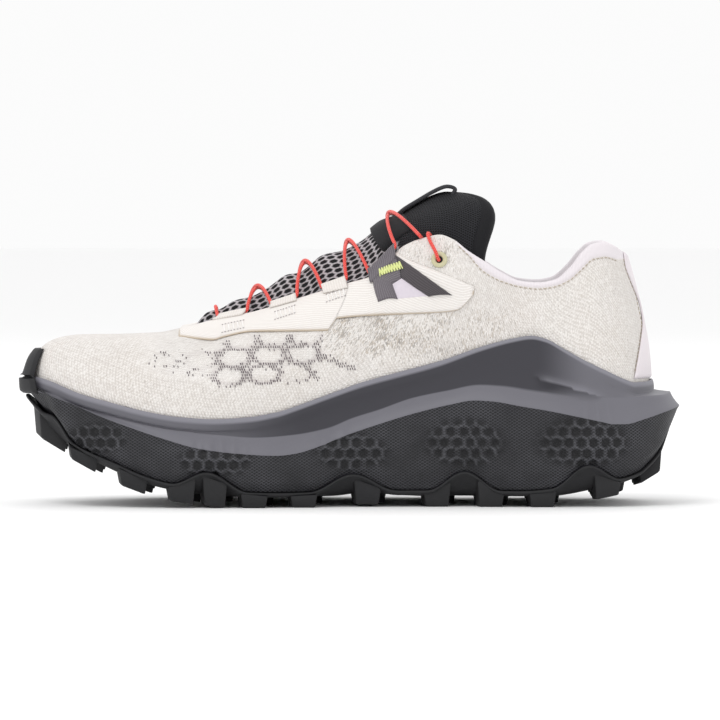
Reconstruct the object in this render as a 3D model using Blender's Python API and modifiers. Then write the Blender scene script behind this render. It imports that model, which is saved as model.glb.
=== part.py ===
"""Trail running shoe, right foot, as an assembly of separate solids. Metres, +Z up.

The toe points along -X, the inner (medial) side of the foot is at -Y, and the lug tips stand on Z = 0.
Every main form is a stack of closed rings that run round the shoe. A ring is read at turns from 0 to 1:
0 at the middle of the heel, then along the medial side, 0.5 at the tip of the toe, and back along the outside.
"""

import math
from collections import namedtuple

import bmesh
import bpy
import numpy as np
from mathutils import Vector

# Driving dimensions
SOLE_LENGTH = 0.300
BALL_WIDTH = 0.114
SIDEWALL_PEAK = 0.0766
EAR_HEIGHT = 0.1225
COLLAR_WIDTH = 0.066
TOE_SPRING = 0.0356
FLARE = 0.014
FOOTBED_HEIGHT = 0.040

# Thicknesses
UPPER_WALL = 0.0022
COLLAR_WALL = 0.0065
OUTSOLE_SHEET = 0.0022
LUG_HEIGHT = 0.0045
LIP_WIDTH = 0.0018
INSOLE_THICKNESS = 0.0045
OVERLAY = 0.0008
TONGUE_THICKNESS = 0.0045
TONGUE_RIM = 0.0095
TAB_WIDTH = 0.0120
TAB_THICKNESS = 0.0012
BUMPER_THICKNESS = 0.0017
BUMPER_HEIGHT = 0.0700
WEBBING = 0.0007
LACE_DIAMETER = 0.0019
LACE_TIP = 0.0020
EYELET_FLANGE = 0.0073
EYELET_HOLE = 0.0032
EYELET_BARREL = 0.0044
EYELET_THICKNESS = 0.0008
CLEARANCE = 0.0003
OVERLAY_GAP = 2 * CLEARANCE

# Ring resolution
TURNS = 68
SPINE_SHARE = 0.86
WELD = 1e-6

# One row for each section round the shoe, from the middle of the heel to the tip of the toe.
# along, medial, lateral: the sole's outline. inset: how far the upper's lower edge lies inside it.
# top_along, top_breadth: the edge of the collar and throat. base_* and top_*: the two handles of the
# curve that joins both edges, outwards and upwards.
# along is a share of SOLE_LENGTH, breadths of BALL_WIDTH / 2, inset of FLARE, top_breadth of COLLAR_WIDTH / 2,
# outwards handles of BALL_WIDTH / 2, and upwards handles of EAR_HEIGHT.
Section = namedtuple(
    "Section", "along medial lateral inset top_along top_breadth base_out base_up top_out top_up"
)
SECTIONS = (
    Section(1.000, 0.000, 0.000, 1.05, 0.917, 0.00, 0.075, 0.21, 0.090, -0.150),
    Section(0.974, 0.470, 0.450, 1.00, 0.903, 0.42, 0.075, 0.21, 0.080, -0.150),
    Section(0.895, 0.775, 0.760, 0.80, 0.862, 0.80, 0.080, 0.20, 0.060, -0.160),
    Section(0.770, 0.790, 0.800, 0.78, 0.770, 0.98, 0.075, 0.19, 0.050, -0.160),
    Section(0.620, 0.735, 0.830, 0.66, 0.660, 0.97, 0.080, 0.23, 0.110, -0.200),
    Section(0.465, 0.810, 0.930, 0.56, 0.545, 0.68, 0.105, 0.23, 0.230, -0.140),
    Section(0.330, 0.935, 0.985, 0.50, 0.445, 0.52, 0.120, 0.23, 0.340, -0.055),
    Section(0.200, 0.915, 0.860, 0.48, 0.365, 0.40, 0.105, 0.22, 0.390, -0.040),
    Section(0.090, 0.740, 0.560, 0.44, 0.310, 0.29, 0.090, 0.24, 0.520, -0.055),
    Section(0.024, 0.455, 0.220, 0.44, 0.272, 0.17, 0.075, 0.29, 0.640, -0.070),
    Section(0.000, 0.135, 0.135, 0.44, 0.2587, 0.00, 0.070, 0.32, 0.680, -0.070),
)

# Lines of the side view. along is a share of SOLE_LENGTH; height is a share of the size that each names.
TOP_LINE = (  # of EAR_HEIGHT
    (0.2587, 0.645), (0.304, 0.678), (0.354, 0.705), (0.400, 0.738), (0.450, 0.780), (0.500, 0.822),
    (0.535, 0.850), (0.556, 0.900), (0.580, 0.957), (0.607, 0.985), (0.635, 1.000), (0.655, 0.984),
    (0.680, 0.939), (0.705, 0.901), (0.730, 0.862), (0.758, 0.831), (0.784, 0.825), (0.808, 0.834),
    (0.830, 0.876), (0.849, 0.930), (0.867, 0.962), (0.886, 0.970), (0.904, 0.955), (0.917, 0.928),
)
RIM_LINE = (  # top edge of the midsole's side, of SIDEWALL_PEAK
    (0.000, 0.775), (0.047, 0.737), (0.097, 0.662), (0.147, 0.609), (0.197, 0.561), (0.247, 0.530),
    (0.297, 0.519), (0.348, 0.530), (0.393, 0.560), (0.419, 0.592), (0.469, 0.661), (0.519, 0.730),
    (0.570, 0.785), (0.637, 0.855), (0.700, 0.940), (0.745, 0.985), (0.772, 1.000), (0.793, 0.983),
    (0.824, 0.917), (0.855, 0.850), (0.886, 0.790), (0.911, 0.742), (0.926, 0.722), (0.944, 0.722),
    (0.965, 0.742), (1.000, 0.750),
)
RIDGE_LINE = (  # crease between the two smooth facets, of SIDEWALL_PEAK
    (0.000, 0.755), (0.047, 0.700), (0.097, 0.620), (0.147, 0.560), (0.197, 0.505), (0.235, 0.478),
    (0.272, 0.441), (0.306, 0.428), (0.365, 0.411), (0.419, 0.424), (0.469, 0.460), (0.507, 0.520),
    (0.545, 0.567), (0.595, 0.637), (0.647, 0.680), (0.693, 0.712), (0.728, 0.704), (0.769, 0.679),
    (0.809, 0.658), (0.844, 0.644), (0.873, 0.640), (0.920, 0.640), (0.960, 0.650), (1.000, 0.660),
)
CREASE_LINE = (  # lower edge of the smooth facets, of SIDEWALL_PEAK
    (0.000, 0.742), (0.047, 0.655), (0.084, 0.602), (0.122, 0.540), (0.172, 0.471), (0.222, 0.407),
    (0.272, 0.353), (0.331, 0.321), (0.394, 0.307), (0.419, 0.317), (0.457, 0.360), (0.494, 0.420),
    (0.545, 0.488), (0.595, 0.548), (0.647, 0.599), (0.688, 0.627), (0.715, 0.621), (0.755, 0.594),
    (0.796, 0.568), (0.836, 0.537), (0.877, 0.504), (0.899, 0.488), (0.917, 0.488), (0.944, 0.514),
    (0.971, 0.547), (1.000, 0.580),
)
UNDERSIDE_LINE = (  # lower face of the outsole between its lugs, of TOE_SPRING
    (0.000, 1.200), (0.032, 0.995), (0.070, 0.798), (0.120, 0.560), (0.150, 0.440), (0.192, 0.303),
    (0.224, 0.232), (0.280, 0.160), (0.340, 0.126), (0.470, 0.126), (0.520, 0.162), (0.580, 0.138),
    (0.610, 0.126), (0.800, 0.126), (0.868, 0.215), (0.908, 0.290), (0.940, 0.400), (0.970, 0.560),
    (1.000, 0.780),
)
PAD_LINE = (  # edge of the outsole on the side, with its arches taken out, of TOE_SPRING
    (0.000, 1.400), (0.025, 1.210), (0.064, 0.900), (0.089, 0.760), (0.147, 0.560), (0.185, 0.425),
    (0.222, 0.330), (0.260, 0.270), (0.340, 0.205), (0.400, 0.190), (0.500, 0.205), (0.595, 0.210),
    (0.755, 0.205), (0.850, 0.290), (0.900, 0.340), (0.942, 0.430), (0.961, 0.545), (0.977, 0.680),
    (0.988, 0.880), (1.000, 1.130),
)
FOOTBED_LINE = (  # of FOOTBED_HEIGHT
    (0.000, 1.300), (0.050, 1.220), (0.100, 1.060), (0.150, 0.930), (0.200, 0.845), (0.300, 0.765),
    (0.400, 0.775), (0.500, 0.815), (0.600, 0.865), (0.750, 0.940), (0.850, 0.975), (1.000, 1.000),
)
SCALLOP_LINE = ((0.0, 0.0), (0.30, 0.06), (0.62, 0.34), (1.0, 1.0))
EYESTAY_LOW_LINE = (  # lower edge of the reinforcement beside the throat, of EAR_HEIGHT
    (0.240, 0.623), (0.296, 0.610), (0.309, 0.619), (0.356, 0.641), (0.468, 0.646), (0.476, 0.687),
    (0.545, 0.702), (0.637, 0.714), (0.660, 0.721), (0.693, 0.800),
)
EYESTAY_HIGH_LINE = (  # its upper edge behind the fourth loop, of EAR_HEIGHT; in front of that the throat's edge
    (0.240, 1.200), (0.540, 1.100), (0.572, 0.931), (0.632, 0.866), (0.693, 0.802),
)
HEEL_SEAM_LINE = (  # along at a share of EAR_HEIGHT, for the side edge of the heel panel
    (0.440, 0.925), (0.510, 0.931), (0.600, 0.938), (0.675, 0.942), (0.735, 0.938), (0.810, 0.926),
    (0.887, 0.915), (0.980, 0.912),
)

# Arches in the outsole's side: along and half_length are shares of SOLE_LENGTH, rise of TOE_SPRING.
Arch = namedtuple("Arch", "along half_length rise")
ARCHES = (
    Arch(0.052, 0.028, 0.120),
    Arch(0.290, 0.062, 0.215),
    Arch(0.507, 0.066, 0.215),
    Arch(0.672, 0.056, 0.240),
    Arch(0.858, 0.058, 0.235),
)

# Rings of the upper: shares of the rise inside the midsole's cup, then shares of the rest.
CUP_PARTS = (0.0, 0.5, 1.0)
SHELL_PARTS = (0.0, 0.18, 0.38, 0.57, 0.74, 0.86, 0.94, 1.0)

# The tongue: one row for each crosswise line from the tip of the throat to the padded rim.
# throat: where the row's sides pass under the throat's edge. along, height: its middle point. sweep: how far
# the shoulders swing backwards. pad: how much of TONGUE_RIM there is in its thickness.
# throat, along and sweep are shares of SOLE_LENGTH, height of EAR_HEIGHT.
TongueRow = namedtuple("TongueRow", "throat along height sweep pad")
TONGUE_ROWS = (
    TongueRow(0.2587, 0.2587, 0.630, 0.000, 0.00),
    TongueRow(0.268, 0.268, 0.661, 0.000, 0.00),
    TongueRow(0.285, 0.284, 0.704, 0.000, 0.00),
    TongueRow(0.306, 0.305, 0.719, 0.000, 0.00),
    TongueRow(0.326, 0.326, 0.749, 0.000, 0.00),
    TongueRow(0.352, 0.352, 0.766, 0.000, 0.00),
    TongueRow(0.378, 0.378, 0.801, 0.000, 0.00),
    TongueRow(0.404, 0.402, 0.842, 0.000, 0.00),
    TongueRow(0.430, 0.427, 0.860, 0.000, 0.00),
    TongueRow(0.461, 0.457, 0.916, 0.000, 0.00),
    TongueRow(0.494, 0.489, 0.935, 0.000, 0.10),
    TongueRow(0.525, 0.518, 0.973, 0.002, 0.20),
    TongueRow(0.556, 0.547, 1.030, 0.004, 0.30),
    TongueRow(0.588, 0.574, 1.070, 0.010, 0.40),
    TongueRow(0.618, 0.598, 1.108, 0.020, 0.55),
    TongueRow(0.646, 0.620, 1.138, 0.036, 0.75),
    TongueRow(0.672, 0.641, 1.155, 0.060, 1.00),
    TongueRow(0.696, 0.660, 1.150, 0.088, 1.00),
)
FLANK_RISES = (0.84, 0.93, 1.0)
ARCH_PARTS = (0.22, 0.46, 0.72, 1.0)
TAB_LINE = (  # along, and height above the floor as a share of EAR_HEIGHT
    (0.5840, 1.1010), (0.6067, 1.1350), (0.6248, 1.1610), (0.6415, 1.1800), (0.6520, 1.1820), (0.6600, 1.1720),
)

EYESTAY_FRONT = 0.2436
EYESTAY_RINGS = 3

# Lace loops: the stations of each loop's front and rear edge along the throat; the fourth tops the wing.
LaceLoop = namedtuple("LaceLoop", "front rear")
LACE_LOOPS = (
    LaceLoop(0.304, 0.345), LaceLoop(0.3835, 0.422), LaceLoop(0.4607, 0.497), LaceLoop(0.532, 0.5725),
)
LOOP_FOOT = 0.0055

# Where the two laces cross on the tongue's middle line, as a share of SOLE_LENGTH.
CROSSINGS = (0.360, 0.4318, 0.4977, 0.560)
EAR_PASS = 0.607
EAR_RETURN = 0.619
EYELET_ALONG, EYELET_HEIGHT = 0.635, 0.907

# The wing: corners of its outer and inner edge as seen from the side, from the foot of the front leg, over the
# top, to the foot of the rear leg. along of SOLE_LENGTH, height of EAR_HEIGHT.
WingPair = namedtuple("WingPair", "outer_along outer_height inner_along inner_height")
WING_PAIRS = (
    WingPair(0.5446, 0.747, 0.5734, 0.760),
    WingPair(0.5390, 0.800, 0.5690, 0.790),
    WingPair(0.5345, 0.842, 0.5664, 0.813),
    WingPair(0.5725, 0.918, 0.5794, 0.835),
    WingPair(0.6130, 0.848, 0.5990, 0.802),
    WingPair(0.6542, 0.776, 0.6194, 0.770),
)

# How the midsole's side stands in from the sole's outline at each level, in metres.
EDGE_INSET = 0.0045
BULGE_INSET = 0.0004
CREASE_INSET = 0.0022
RIDGE_INSET = 0.0046
HEEL_SIT = 0.0042
FOOT_INSET = 0.016
SCALLOP_PART = 0.55
EDGE_RISE = 0.985


def place(along):
    """X of a share of the sole's length."""
    return (np.asarray(along, float) - 0.5) * SOLE_LENGTH


def share(x):
    """Share of the sole's length at an X."""
    return np.asarray(x, float) / SOLE_LENGTH + 0.5


def ease(value):
    """Smooth step from 0 to 1."""
    t = np.clip(value, 0, 1)
    return t * t * (3 - 2 * t)


def smooth_line(table):
    """A smooth curve through rows of (along, height) that doesn't swing past them."""
    rows = np.array(table, float)
    x, y = rows[:, 0], rows[:, 1]
    slope = np.diff(y) / np.diff(x)
    tangent = np.zeros(len(x))
    before, after = slope[:-1], slope[1:]
    same = before * after > 0
    tangent[1:-1][same] = 2 * before[same] * after[same] / (before + after)[same]
    tangent[0], tangent[-1] = slope[0], slope[-1]

    def at(value):
        v = np.clip(np.asarray(value, float), x[0], x[-1])
        k = np.clip(np.searchsorted(x, v, side="right") - 1, 0, len(x) - 2)
        h = x[k + 1] - x[k]
        t = (v - x[k]) / h
        return (
            (1 + 2 * t) * (1 - t) ** 2 * y[k] + t * (1 - t) ** 2 * h * tangent[k]
            + t * t * (3 - 2 * t) * y[k + 1] + t * t * (t - 1) * h * tangent[k + 1]
        )

    return at


def closed_spline(values):
    """A closed cubic spline through evenly spaced values, read at turns."""
    v = np.array(values, float)
    count = len(v)
    step = 1 / count
    eye = np.eye(count)
    matrix = (4 * eye + np.roll(eye, 1, 0) + np.roll(eye, -1, 0)) / 6
    bend = np.linalg.solve(matrix, (np.roll(v, 1) - 2 * v + np.roll(v, -1)) / step**2)

    def at(turn):
        spot = np.mod(np.asarray(turn, float), 1) * count
        k = np.floor(spot).astype(int) % count
        t = spot - np.floor(spot)
        n = (k + 1) % count
        near, far = (1 - t) ** 3 - (1 - t), t**3 - t
        return (1 - t) * v[k] + t * v[n] + step**2 / 6 * (near * bend[k] + far * bend[n])

    return at


def around(medial, lateral=None):
    """The spline of one column of SECTIONS round the shoe. With two columns it is a signed breadth,
    negative on the medial side."""
    inner = [getattr(row, medial) for row in SECTIONS]
    outer = [getattr(row, lateral or medial) for row in SECTIONS[-2:0:-1]]
    if lateral:
        inner = [-value for value in inner]
    return closed_spline(inner + outer)


outline_along = around("along")
outline_across = around("medial", "lateral")
feather_inset = around("inset")
edge_along = around("top_along")
edge_across = around("top_breadth", "top_breadth")
base_out, base_up = around("base_out"), around("base_up")
top_out, top_up = around("top_out"), around("top_up")
top_height = smooth_line(TOP_LINE)
rim_height = smooth_line(RIM_LINE)
ridge_height = smooth_line(RIDGE_LINE)
crease_height = smooth_line(CREASE_LINE)
underside_height = smooth_line(UNDERSIDE_LINE)
pad_height = smooth_line(PAD_LINE)
footbed_height = smooth_line(FOOTBED_LINE)
scallop_share = smooth_line(SCALLOP_LINE)
eyestay_low = smooth_line(EYESTAY_LOW_LINE)
eyestay_high = smooth_line(EYESTAY_HIGH_LINE)
heel_seam = smooth_line(HEEL_SEAM_LINE)


def sole_middle():
    """Half way between the sole's two side edges, so that the shoe's box is centred on Y = 0."""
    across = outline_across(np.linspace(0, 1, 2001))
    return float(across.max() + across.min()) / 2 * BALL_WIDTH / 2


MIDDLE_Y = -sole_middle()


def outline(turn, inset=0.0):
    """X and Y of the sole's outline at turns, moved inwards by inset."""
    small = 1e-3
    x = place(outline_along(turn))
    y = outline_across(turn) * BALL_WIDTH / 2 + MIDDLE_Y
    dx = place(outline_along(turn + small)) - place(outline_along(turn - small))
    dy = (outline_across(turn + small) - outline_across(turn - small)) * BALL_WIDTH / 2
    length = np.hypot(dx, dy)
    return x + dy / length * inset, y - dx / length * inset


def outwards(turn):
    """Unit direction out of the outline, level."""
    x0, y0 = outline(turn)
    x1, y1 = outline(turn, -1.0)
    return np.stack([x1 - x0, y1 - y0, np.zeros_like(x0)], -1)


def ring(turn, inset, height):
    """Points of a ring inset from the outline; height is a number, an array or a function of along."""
    x, y = outline(turn, inset)
    z = height(share(x)) if callable(height) else height + 0 * x
    return np.stack([x, y, z], -1)


def towards_spine(turn, inset, part, height):
    """A ring that has moved a part of the way from its inset outline to the sole's middle line."""
    x, y = outline(turn, inset)
    x_mirror, y_mirror = outline(1 - turn, inset)
    middle = (y + y_mirror) / 2
    centre = place(np.clip(share((x + x_mirror) / 2), 0.10, 0.90))
    x = x + (centre - x) * part
    y = y + (middle - y) * part
    return np.stack([x, y, height(share(x))], -1)


def footbed(along):
    return footbed_height(along) * FOOTBED_HEIGHT


def underside(along):
    return underside_height(along) * TOE_SPRING


def arch_rise(along):
    """How far the arches lift the outsole's edge."""
    total = 0 * np.asarray(along, float)
    for arch in ARCHES:
        reach = np.clip(np.abs(along - arch.along) / arch.half_length, 0, 1)
        total = total + arch.rise * np.cos(reach * math.pi / 2) ** 2
    return total * TOE_SPRING


def outsole_edge(along):
    """Height of the outsole's waved upper edge on the side."""
    return pad_height(along) * TOE_SPRING + arch_rise(along)


def rim(along):
    return rim_height(along) * SIDEWALL_PEAK


def upper_point(turn, rise, lift=0.0):
    """The upper's outer face: rise runs from 0 at its lower edge to 1 at the collar or throat."""
    turn, rise = np.broadcast_arrays(np.asarray(turn, float), np.asarray(rise, float))
    if np.any(lift):
        small = 1e-3
        low, high = np.clip(rise - small, 0, 1), np.clip(rise + small, 0, 1)
        along = upper_point(turn + small, rise) - upper_point(turn - small, rise)
        up = upper_point(turn, high) - upper_point(turn, low)
        normal = np.cross(up, along)
        normal /= np.linalg.norm(normal, axis=-1, keepdims=True)
        return upper_point(turn, rise) + normal * np.asarray(lift)[..., None]
    out = outwards(turn)
    up = np.array([0.0, 0.0, 1.0])
    x, y = outline(turn, feather_inset(turn) * FLARE)
    base = np.stack([x, y, footbed(share(x)) + CLEARANCE], -1)
    along = edge_along(turn)
    top = np.stack(
        [
            place(along),
            edge_across(turn) * COLLAR_WIDTH / 2 + MIDDLE_Y,
            top_height(along) * EAR_HEIGHT,
        ],
        -1,
    )
    half = BALL_WIDTH / 2
    first = base + out * (base_out(turn) * half)[..., None] + up * (base_up(turn) * EAR_HEIGHT)[..., None]
    last = top + out * (top_out(turn) * half)[..., None] + up * (top_up(turn) * EAR_HEIGHT)[..., None]
    t = rise[..., None]
    return (1 - t) ** 3 * base + 3 * t * (1 - t) ** 2 * first + 3 * t * t * (1 - t) * last + t**3 * top


def rise_where(turn, test):
    """The rise at each turn where test(points) crosses zero on the way up."""
    low, high = np.zeros_like(turn), np.ones_like(turn)
    for _ in range(24):
        middle = (low + high) / 2
        above = test(upper_point(turn, middle)) > 0
        high = np.where(above, middle, high)
        low = np.where(above, low, middle)
    return (low + high) / 2


def lip_rise(turn):
    """The rise at which the midsole's rim meets the upper."""
    return rise_where(turn, lambda p: p[..., 2] - rim(share(p[..., 0])))


def turn_at_edge(along):
    """The medial turn at which the collar or throat edge stands at a station."""
    turn = np.linspace(0, 0.5, 1001)
    return np.interp(along, edge_along(turn)[::-1], turn[::-1])


def locate(along, height):
    """Medial turn and rise at which the upper's outer face is seen at a station and height."""
    along, height = np.asarray(along, float), np.asarray(height, float)
    low, high = 0.02 + 0 * along, 0.49 + 0 * along
    for _ in range(24):
        turn = (low + high) / 2
        rise = rise_where(turn, lambda p: p[..., 2] - height)
        ahead = share(upper_point(turn, rise)[..., 0]) < along
        high = np.where(ahead, turn, high)
        low = np.where(ahead, low, turn)
    return turn, np.minimum(rise, EDGE_RISE)


def on_side(turn, side):
    """A medial turn, or its mirror image on the lateral side."""
    return turn if side == "medial" else 1 - turn


def unit(vectors):
    return vectors / np.linalg.norm(vectors, axis=-1, keepdims=True)


def edge_frame(turn):
    """A point of the collar or throat edge, and the directions on past that edge and outwards."""
    top = upper_point(turn, 1.0)
    onwards = unit(top - upper_point(turn, 0.99))
    return top, onwards, unit(upper_point(turn, 1.0, 0.001) - top)


def wall(turn, rise):
    """Thickness of the upper: thin over the foot, padded towards the collar."""
    padded = ease((edge_along(turn) - 0.60) / 0.08) * ease((rise - 0.45) / 0.35)
    rounded = 1 - 0.45 * ease((rise - 0.93) / 0.07)
    return UPPER_WALL + (COLLAR_WALL - UPPER_WALL) * padded * rounded


def new_mesh(name, points, faces):
    mesh = bpy.data.meshes.new(name)
    mesh.from_pydata([tuple(map(float, p)) for p in points], [], faces)
    work = bmesh.new()
    work.from_mesh(mesh)
    bmesh.ops.remove_doubles(work, verts=work.verts, dist=WELD)
    bmesh.ops.recalc_face_normals(work, faces=work.faces)
    if work.calc_volume(signed=True) < 0:
        bmesh.ops.reverse_faces(work, faces=work.faces)
    work.to_mesh(mesh)
    work.free()
    mesh.shade_smooth()
    mesh.set_sharp_from_angle(angle=math.radians(35))
    return mesh


def ring_body(name, rings, ends):
    """A closed body through rings of equal count. ends is "tube" where the last ring joins the first,
    or "zip" where the first and last rings are closed across the shoe. Each strip's diagonals run from its
    lower ring to its higher one, so that two bodies that meet there have the same facets."""
    count = len(rings[0])
    points = np.concatenate(rings)
    faces = []
    last = len(rings) if ends == "tube" else len(rings) - 1
    for r in range(last):
        low, high = r * count, (r + 1) % len(rings) * count
        if points[low:low + count, 2].mean() > points[high:high + count, 2].mean():
            low, high = high, low
        for i in range(count):
            j = (i + 1) % count
            faces.append((low + i, low + j, high + j))
            faces.append((low + i, high + j, high + i))
    if ends == "zip":
        for start in (0, (len(rings) - 1) * count):
            for i in range(count // 2):
                strip = [start + i, start + i + 1, start + (count - i - 1) % count, start + (count - i) % count]
                faces.append(tuple(dict.fromkeys(strip)))
    return add(name, new_mesh(name, points, faces))


def slab(name, outer, inner, folded=False):
    """A closed sheet between two grids of points of the same rows and columns. A folded sheet has its
    first row laid double, medial half on lateral half, and welded."""
    rows, columns = outer.shape[:2]
    size = rows * columns
    points = np.concatenate([outer.reshape(-1, 3), inner.reshape(-1, 3)])
    faces = []
    for i in range(rows - 1):
        for j in range(columns - 1):
            a, b = i * columns + j, (i + 1) * columns + j
            for corners in ((a, b, b + 1), (a, b + 1, a + 1)):
                faces.append(corners)
                faces.append([size + corner for corner in corners[::-1]])
    border = (
        [j for j in range(columns)]
        + [i * columns + columns - 1 for i in range(1, rows)]
        + [(rows - 1) * columns + j for j in range(columns - 2, -1, -1)]
        + [i * columns for i in range(rows - 2, 0, -1)]
    )
    sides = list(zip(border, border[1:] + border[:1]))
    for a, b in sides[columns - 1 if folded else 0:]:
        faces.append((a, b, size + b, size + a))
    return add(name, new_mesh(name, points, faces))


PARTS = bpy.data.collections.new("trail_running_shoe")
CUTTERS = bpy.data.collections.new("cutters")


def add(name, data, collection=None):
    obj = bpy.data.objects.new(name, data)
    (collection or PARTS).objects.link(obj)
    return obj


def hide(obj):
    """Marks a helper, which is no part of the shoe."""
    obj.hide_render = True
    obj.display_type = "WIRE"
    return obj


def boolean(obj, other, operation):
    """Cuts or joins obj with another object for good, and removes the other."""
    modifier = obj.modifiers.new(operation.lower(), "BOOLEAN")
    modifier.operation = operation
    modifier.object = other
    modifier.use_self = operation == "UNION"
    bpy.context.view_layer.update()
    mesh = bpy.data.meshes.new_from_object(obj.evaluated_get(bpy.context.evaluated_depsgraph_get()))
    obj.modifiers.clear()
    obj.data = mesh
    bpy.data.objects.remove(other)


def drop_slivers(obj):
    """Deletes the loose slivers that a union of nearly parallel faces can leave inside a body."""
    work = bmesh.new()
    work.from_mesh(obj.data)
    bodies, left = [], set(work.faces)
    while left:
        body, edge_of = set(), [left.pop()]
        while edge_of:
            face = edge_of.pop()
            body.add(face)
            for other in {f for e in face.edges for f in e.link_faces} & left:
                left.discard(other)
                edge_of.append(other)
        bodies.append(body)
    bodies.sort(key=len)
    for body in bodies[:-1]:
        bmesh.ops.delete(work, geom=list(body), context="FACES")
    work.to_mesh(obj.data)
    work.free()


def toe_recess(turn):
    """How far the midsole's toe stands back to take the bumper."""
    return (BUMPER_THICKNESS + 2 * CLEARANCE) * ease((0.080 - np.abs(turn - 0.5)) / 0.022)


def midsole_rings(turn):
    """Rings of the midsole, from under its middle, up the side, over the rim and down into the cup."""
    along = outline_along(turn)
    sheet_top = lambda a: underside(a) + OUTSOLE_SHEET + 1.5 * CLEARANCE
    edge = outsole_edge(along) + 1.5 * CLEARANCE
    crease = crease_height(along) * SIDEWALL_PEAK
    ridge = ridge_height(along) * SIDEWALL_PEAK
    end = np.minimum(ease((along - 0.02) / 0.10), ease((0.99 - along) / 0.10))
    recess = toe_recess(turn)
    lip = lip_rise(turn)
    low_lip = np.maximum(lip - 0.055, 0.35 * lip)
    rings = [
        towards_spine(turn, FOOT_INSET, SPINE_SHARE, sheet_top),
        ring(turn, FOOT_INSET, sheet_top),
        scallop_ring(turn, 1.5 * CLEARANCE),
        ring(turn, EDGE_INSET, edge),
    ]
    for part, inset in ((0.26, 0.35), (0.68, 0.12)):
        stand = BULGE_INSET + (EDGE_INSET - BULGE_INSET) * inset + recess
        rings.append(ring(turn, stand, edge + (crease - edge) * part))
    rings.append(ring(turn, CREASE_INSET * end + recess, crease))
    lower = upper_point(turn, low_lip, CLEARANCE + LIP_WIDTH + 0 * turn)
    x, y = outline(turn, RIDGE_INSET * end + HEEL_SIT * ease((along - 0.80) / 0.18) + recess)
    rings.append(np.stack([x, y, np.minimum(ridge, lower[..., 2] - 0.001)], -1))
    rings.append(lower)
    rings.append(upper_point(turn, lip, CLEARANCE + 0.75 * LIP_WIDTH + 0 * turn))
    for part in CUP_PARTS[::-1]:
        rings.append(upper_point(turn, lip * part, CLEARANCE + 0 * turn))
    rings[-1][:, 2] = footbed(share(rings[-1][:, 0]))
    rings.append(towards_spine(turn, FLARE + 0.006, SPINE_SHARE, footbed))
    return rings


def scallop_ring(turn, gap):
    """A ring of the outsole's hollowed flank, half way from its flat middle to its edge."""
    inset = FOOT_INSET + (EDGE_INSET - FOOT_INSET) * SCALLOP_PART
    x, y = outline(turn, inset)
    flat = underside(share(x)) + OUTSOLE_SHEET
    edge = outsole_edge(outline_along(turn))
    return np.stack([x, y, flat + (edge - flat) * scallop_share(SCALLOP_PART) + gap], -1)


def outsole_rings(turn):
    edge = outsole_edge(outline_along(turn))
    skin = 0.6 * OUTSOLE_SHEET
    rings = [
        towards_spine(turn, FOOT_INSET, SPINE_SHARE, lambda a: underside(a) + OUTSOLE_SHEET),
        ring(turn, FOOT_INSET, lambda a: underside(a) + OUTSOLE_SHEET),
        scallop_ring(turn, 0.0),
        ring(turn, EDGE_INSET, edge),
        ring(turn, EDGE_INSET - skin, edge - 0.2 * skin),
        ring(turn, EDGE_INSET - 0.3 * skin, edge - 1.2 * skin),
    ]
    rings.append(scallop_ring(turn, -OUTSOLE_SHEET))
    rings.append(ring(turn, FOOT_INSET, underside))
    rings.append(towards_spine(turn, FOOT_INSET, SPINE_SHARE, underside))
    return rings


# Lugs: one row for each rank across the sole. along is a share of SOLE_LENGTH, length too; across are
# the centres from the medial edge (-1) to the lateral edge (1); width is a share of BALL_WIDTH.
LugRank = namedtuple("LugRank", "along length width across")
LUG_RANKS = (
    LugRank(0.040, 0.036, 0.120, (-0.52, 0.34)),
    LugRank(0.095, 0.040, 0.120, (-0.86, -0.30, 0.28, 0.84)),
    LugRank(0.170, 0.040, 0.120, (-0.87, -0.32, 0.30, 0.86)),
    LugRank(0.243, 0.038, 0.120, (-0.88, -0.34, 0.30, 0.88)),
    LugRank(0.292, 0.034, 0.110, (-0.88, 0.00, 0.88)),
    LugRank(0.351, 0.038, 0.120, (-0.90, -0.40, 0.40, 0.90)),
    LugRank(0.425, 0.038, 0.120, (-0.90, -0.02, 0.90)),
    LugRank(0.520, 0.038, 0.120, (-0.84, -0.36, 0.36, 0.86)),
    LugRank(0.625, 0.038, 0.120, (-0.84, -0.02, 0.86)),
    LugRank(0.705, 0.038, 0.120, (-0.86, -0.38, 0.36, 0.86)),
    LugRank(0.783, 0.038, 0.120, (-0.86, -0.02, 0.86)),
    LugRank(0.880, 0.038, 0.120, (-0.82, -0.30, 0.28, 0.82)),
    LugRank(0.940, 0.028, 0.110, (-0.42, 0.40)),
)
LUG_TAPER = 0.80
LUG_SWEEP = 0.018
LUG_ROOT = 0.0060


def half_breadths(along):
    """Y of the medial and lateral edges of the flat sole at a station."""
    turn = np.linspace(0, 1, 721)
    x, y = outline(turn, EDGE_INSET)
    medial, lateral = turn < 0.5, turn > 0.5
    order_m, order_l = np.argsort(x[medial]), np.argsort(x[lateral])
    at = float(place(along))
    return (
        float(np.interp(at, x[medial][order_m], y[medial][order_m])),
        float(np.interp(at, x[lateral][order_l], y[lateral][order_l])),
    )


def sheet_underside(x, y):
    """Height of the outsole's lower face at a point, hollowed flanks included."""
    turn = np.linspace(0, 1, 721)
    edge_x, edge_y = outline(turn)
    distance = np.hypot(edge_x - x, edge_y - y)
    nearest = int(np.argmin(distance))
    part = np.clip((FOOT_INSET - distance[nearest]) / (FOOT_INSET - EDGE_INSET), 0, 1)
    edge = float(outsole_edge(outline_along(turn[nearest]))) - OUTSOLE_SHEET
    flat = float(underside(share(x)))
    return flat + (edge - flat) * float(scallop_share(part))


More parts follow.
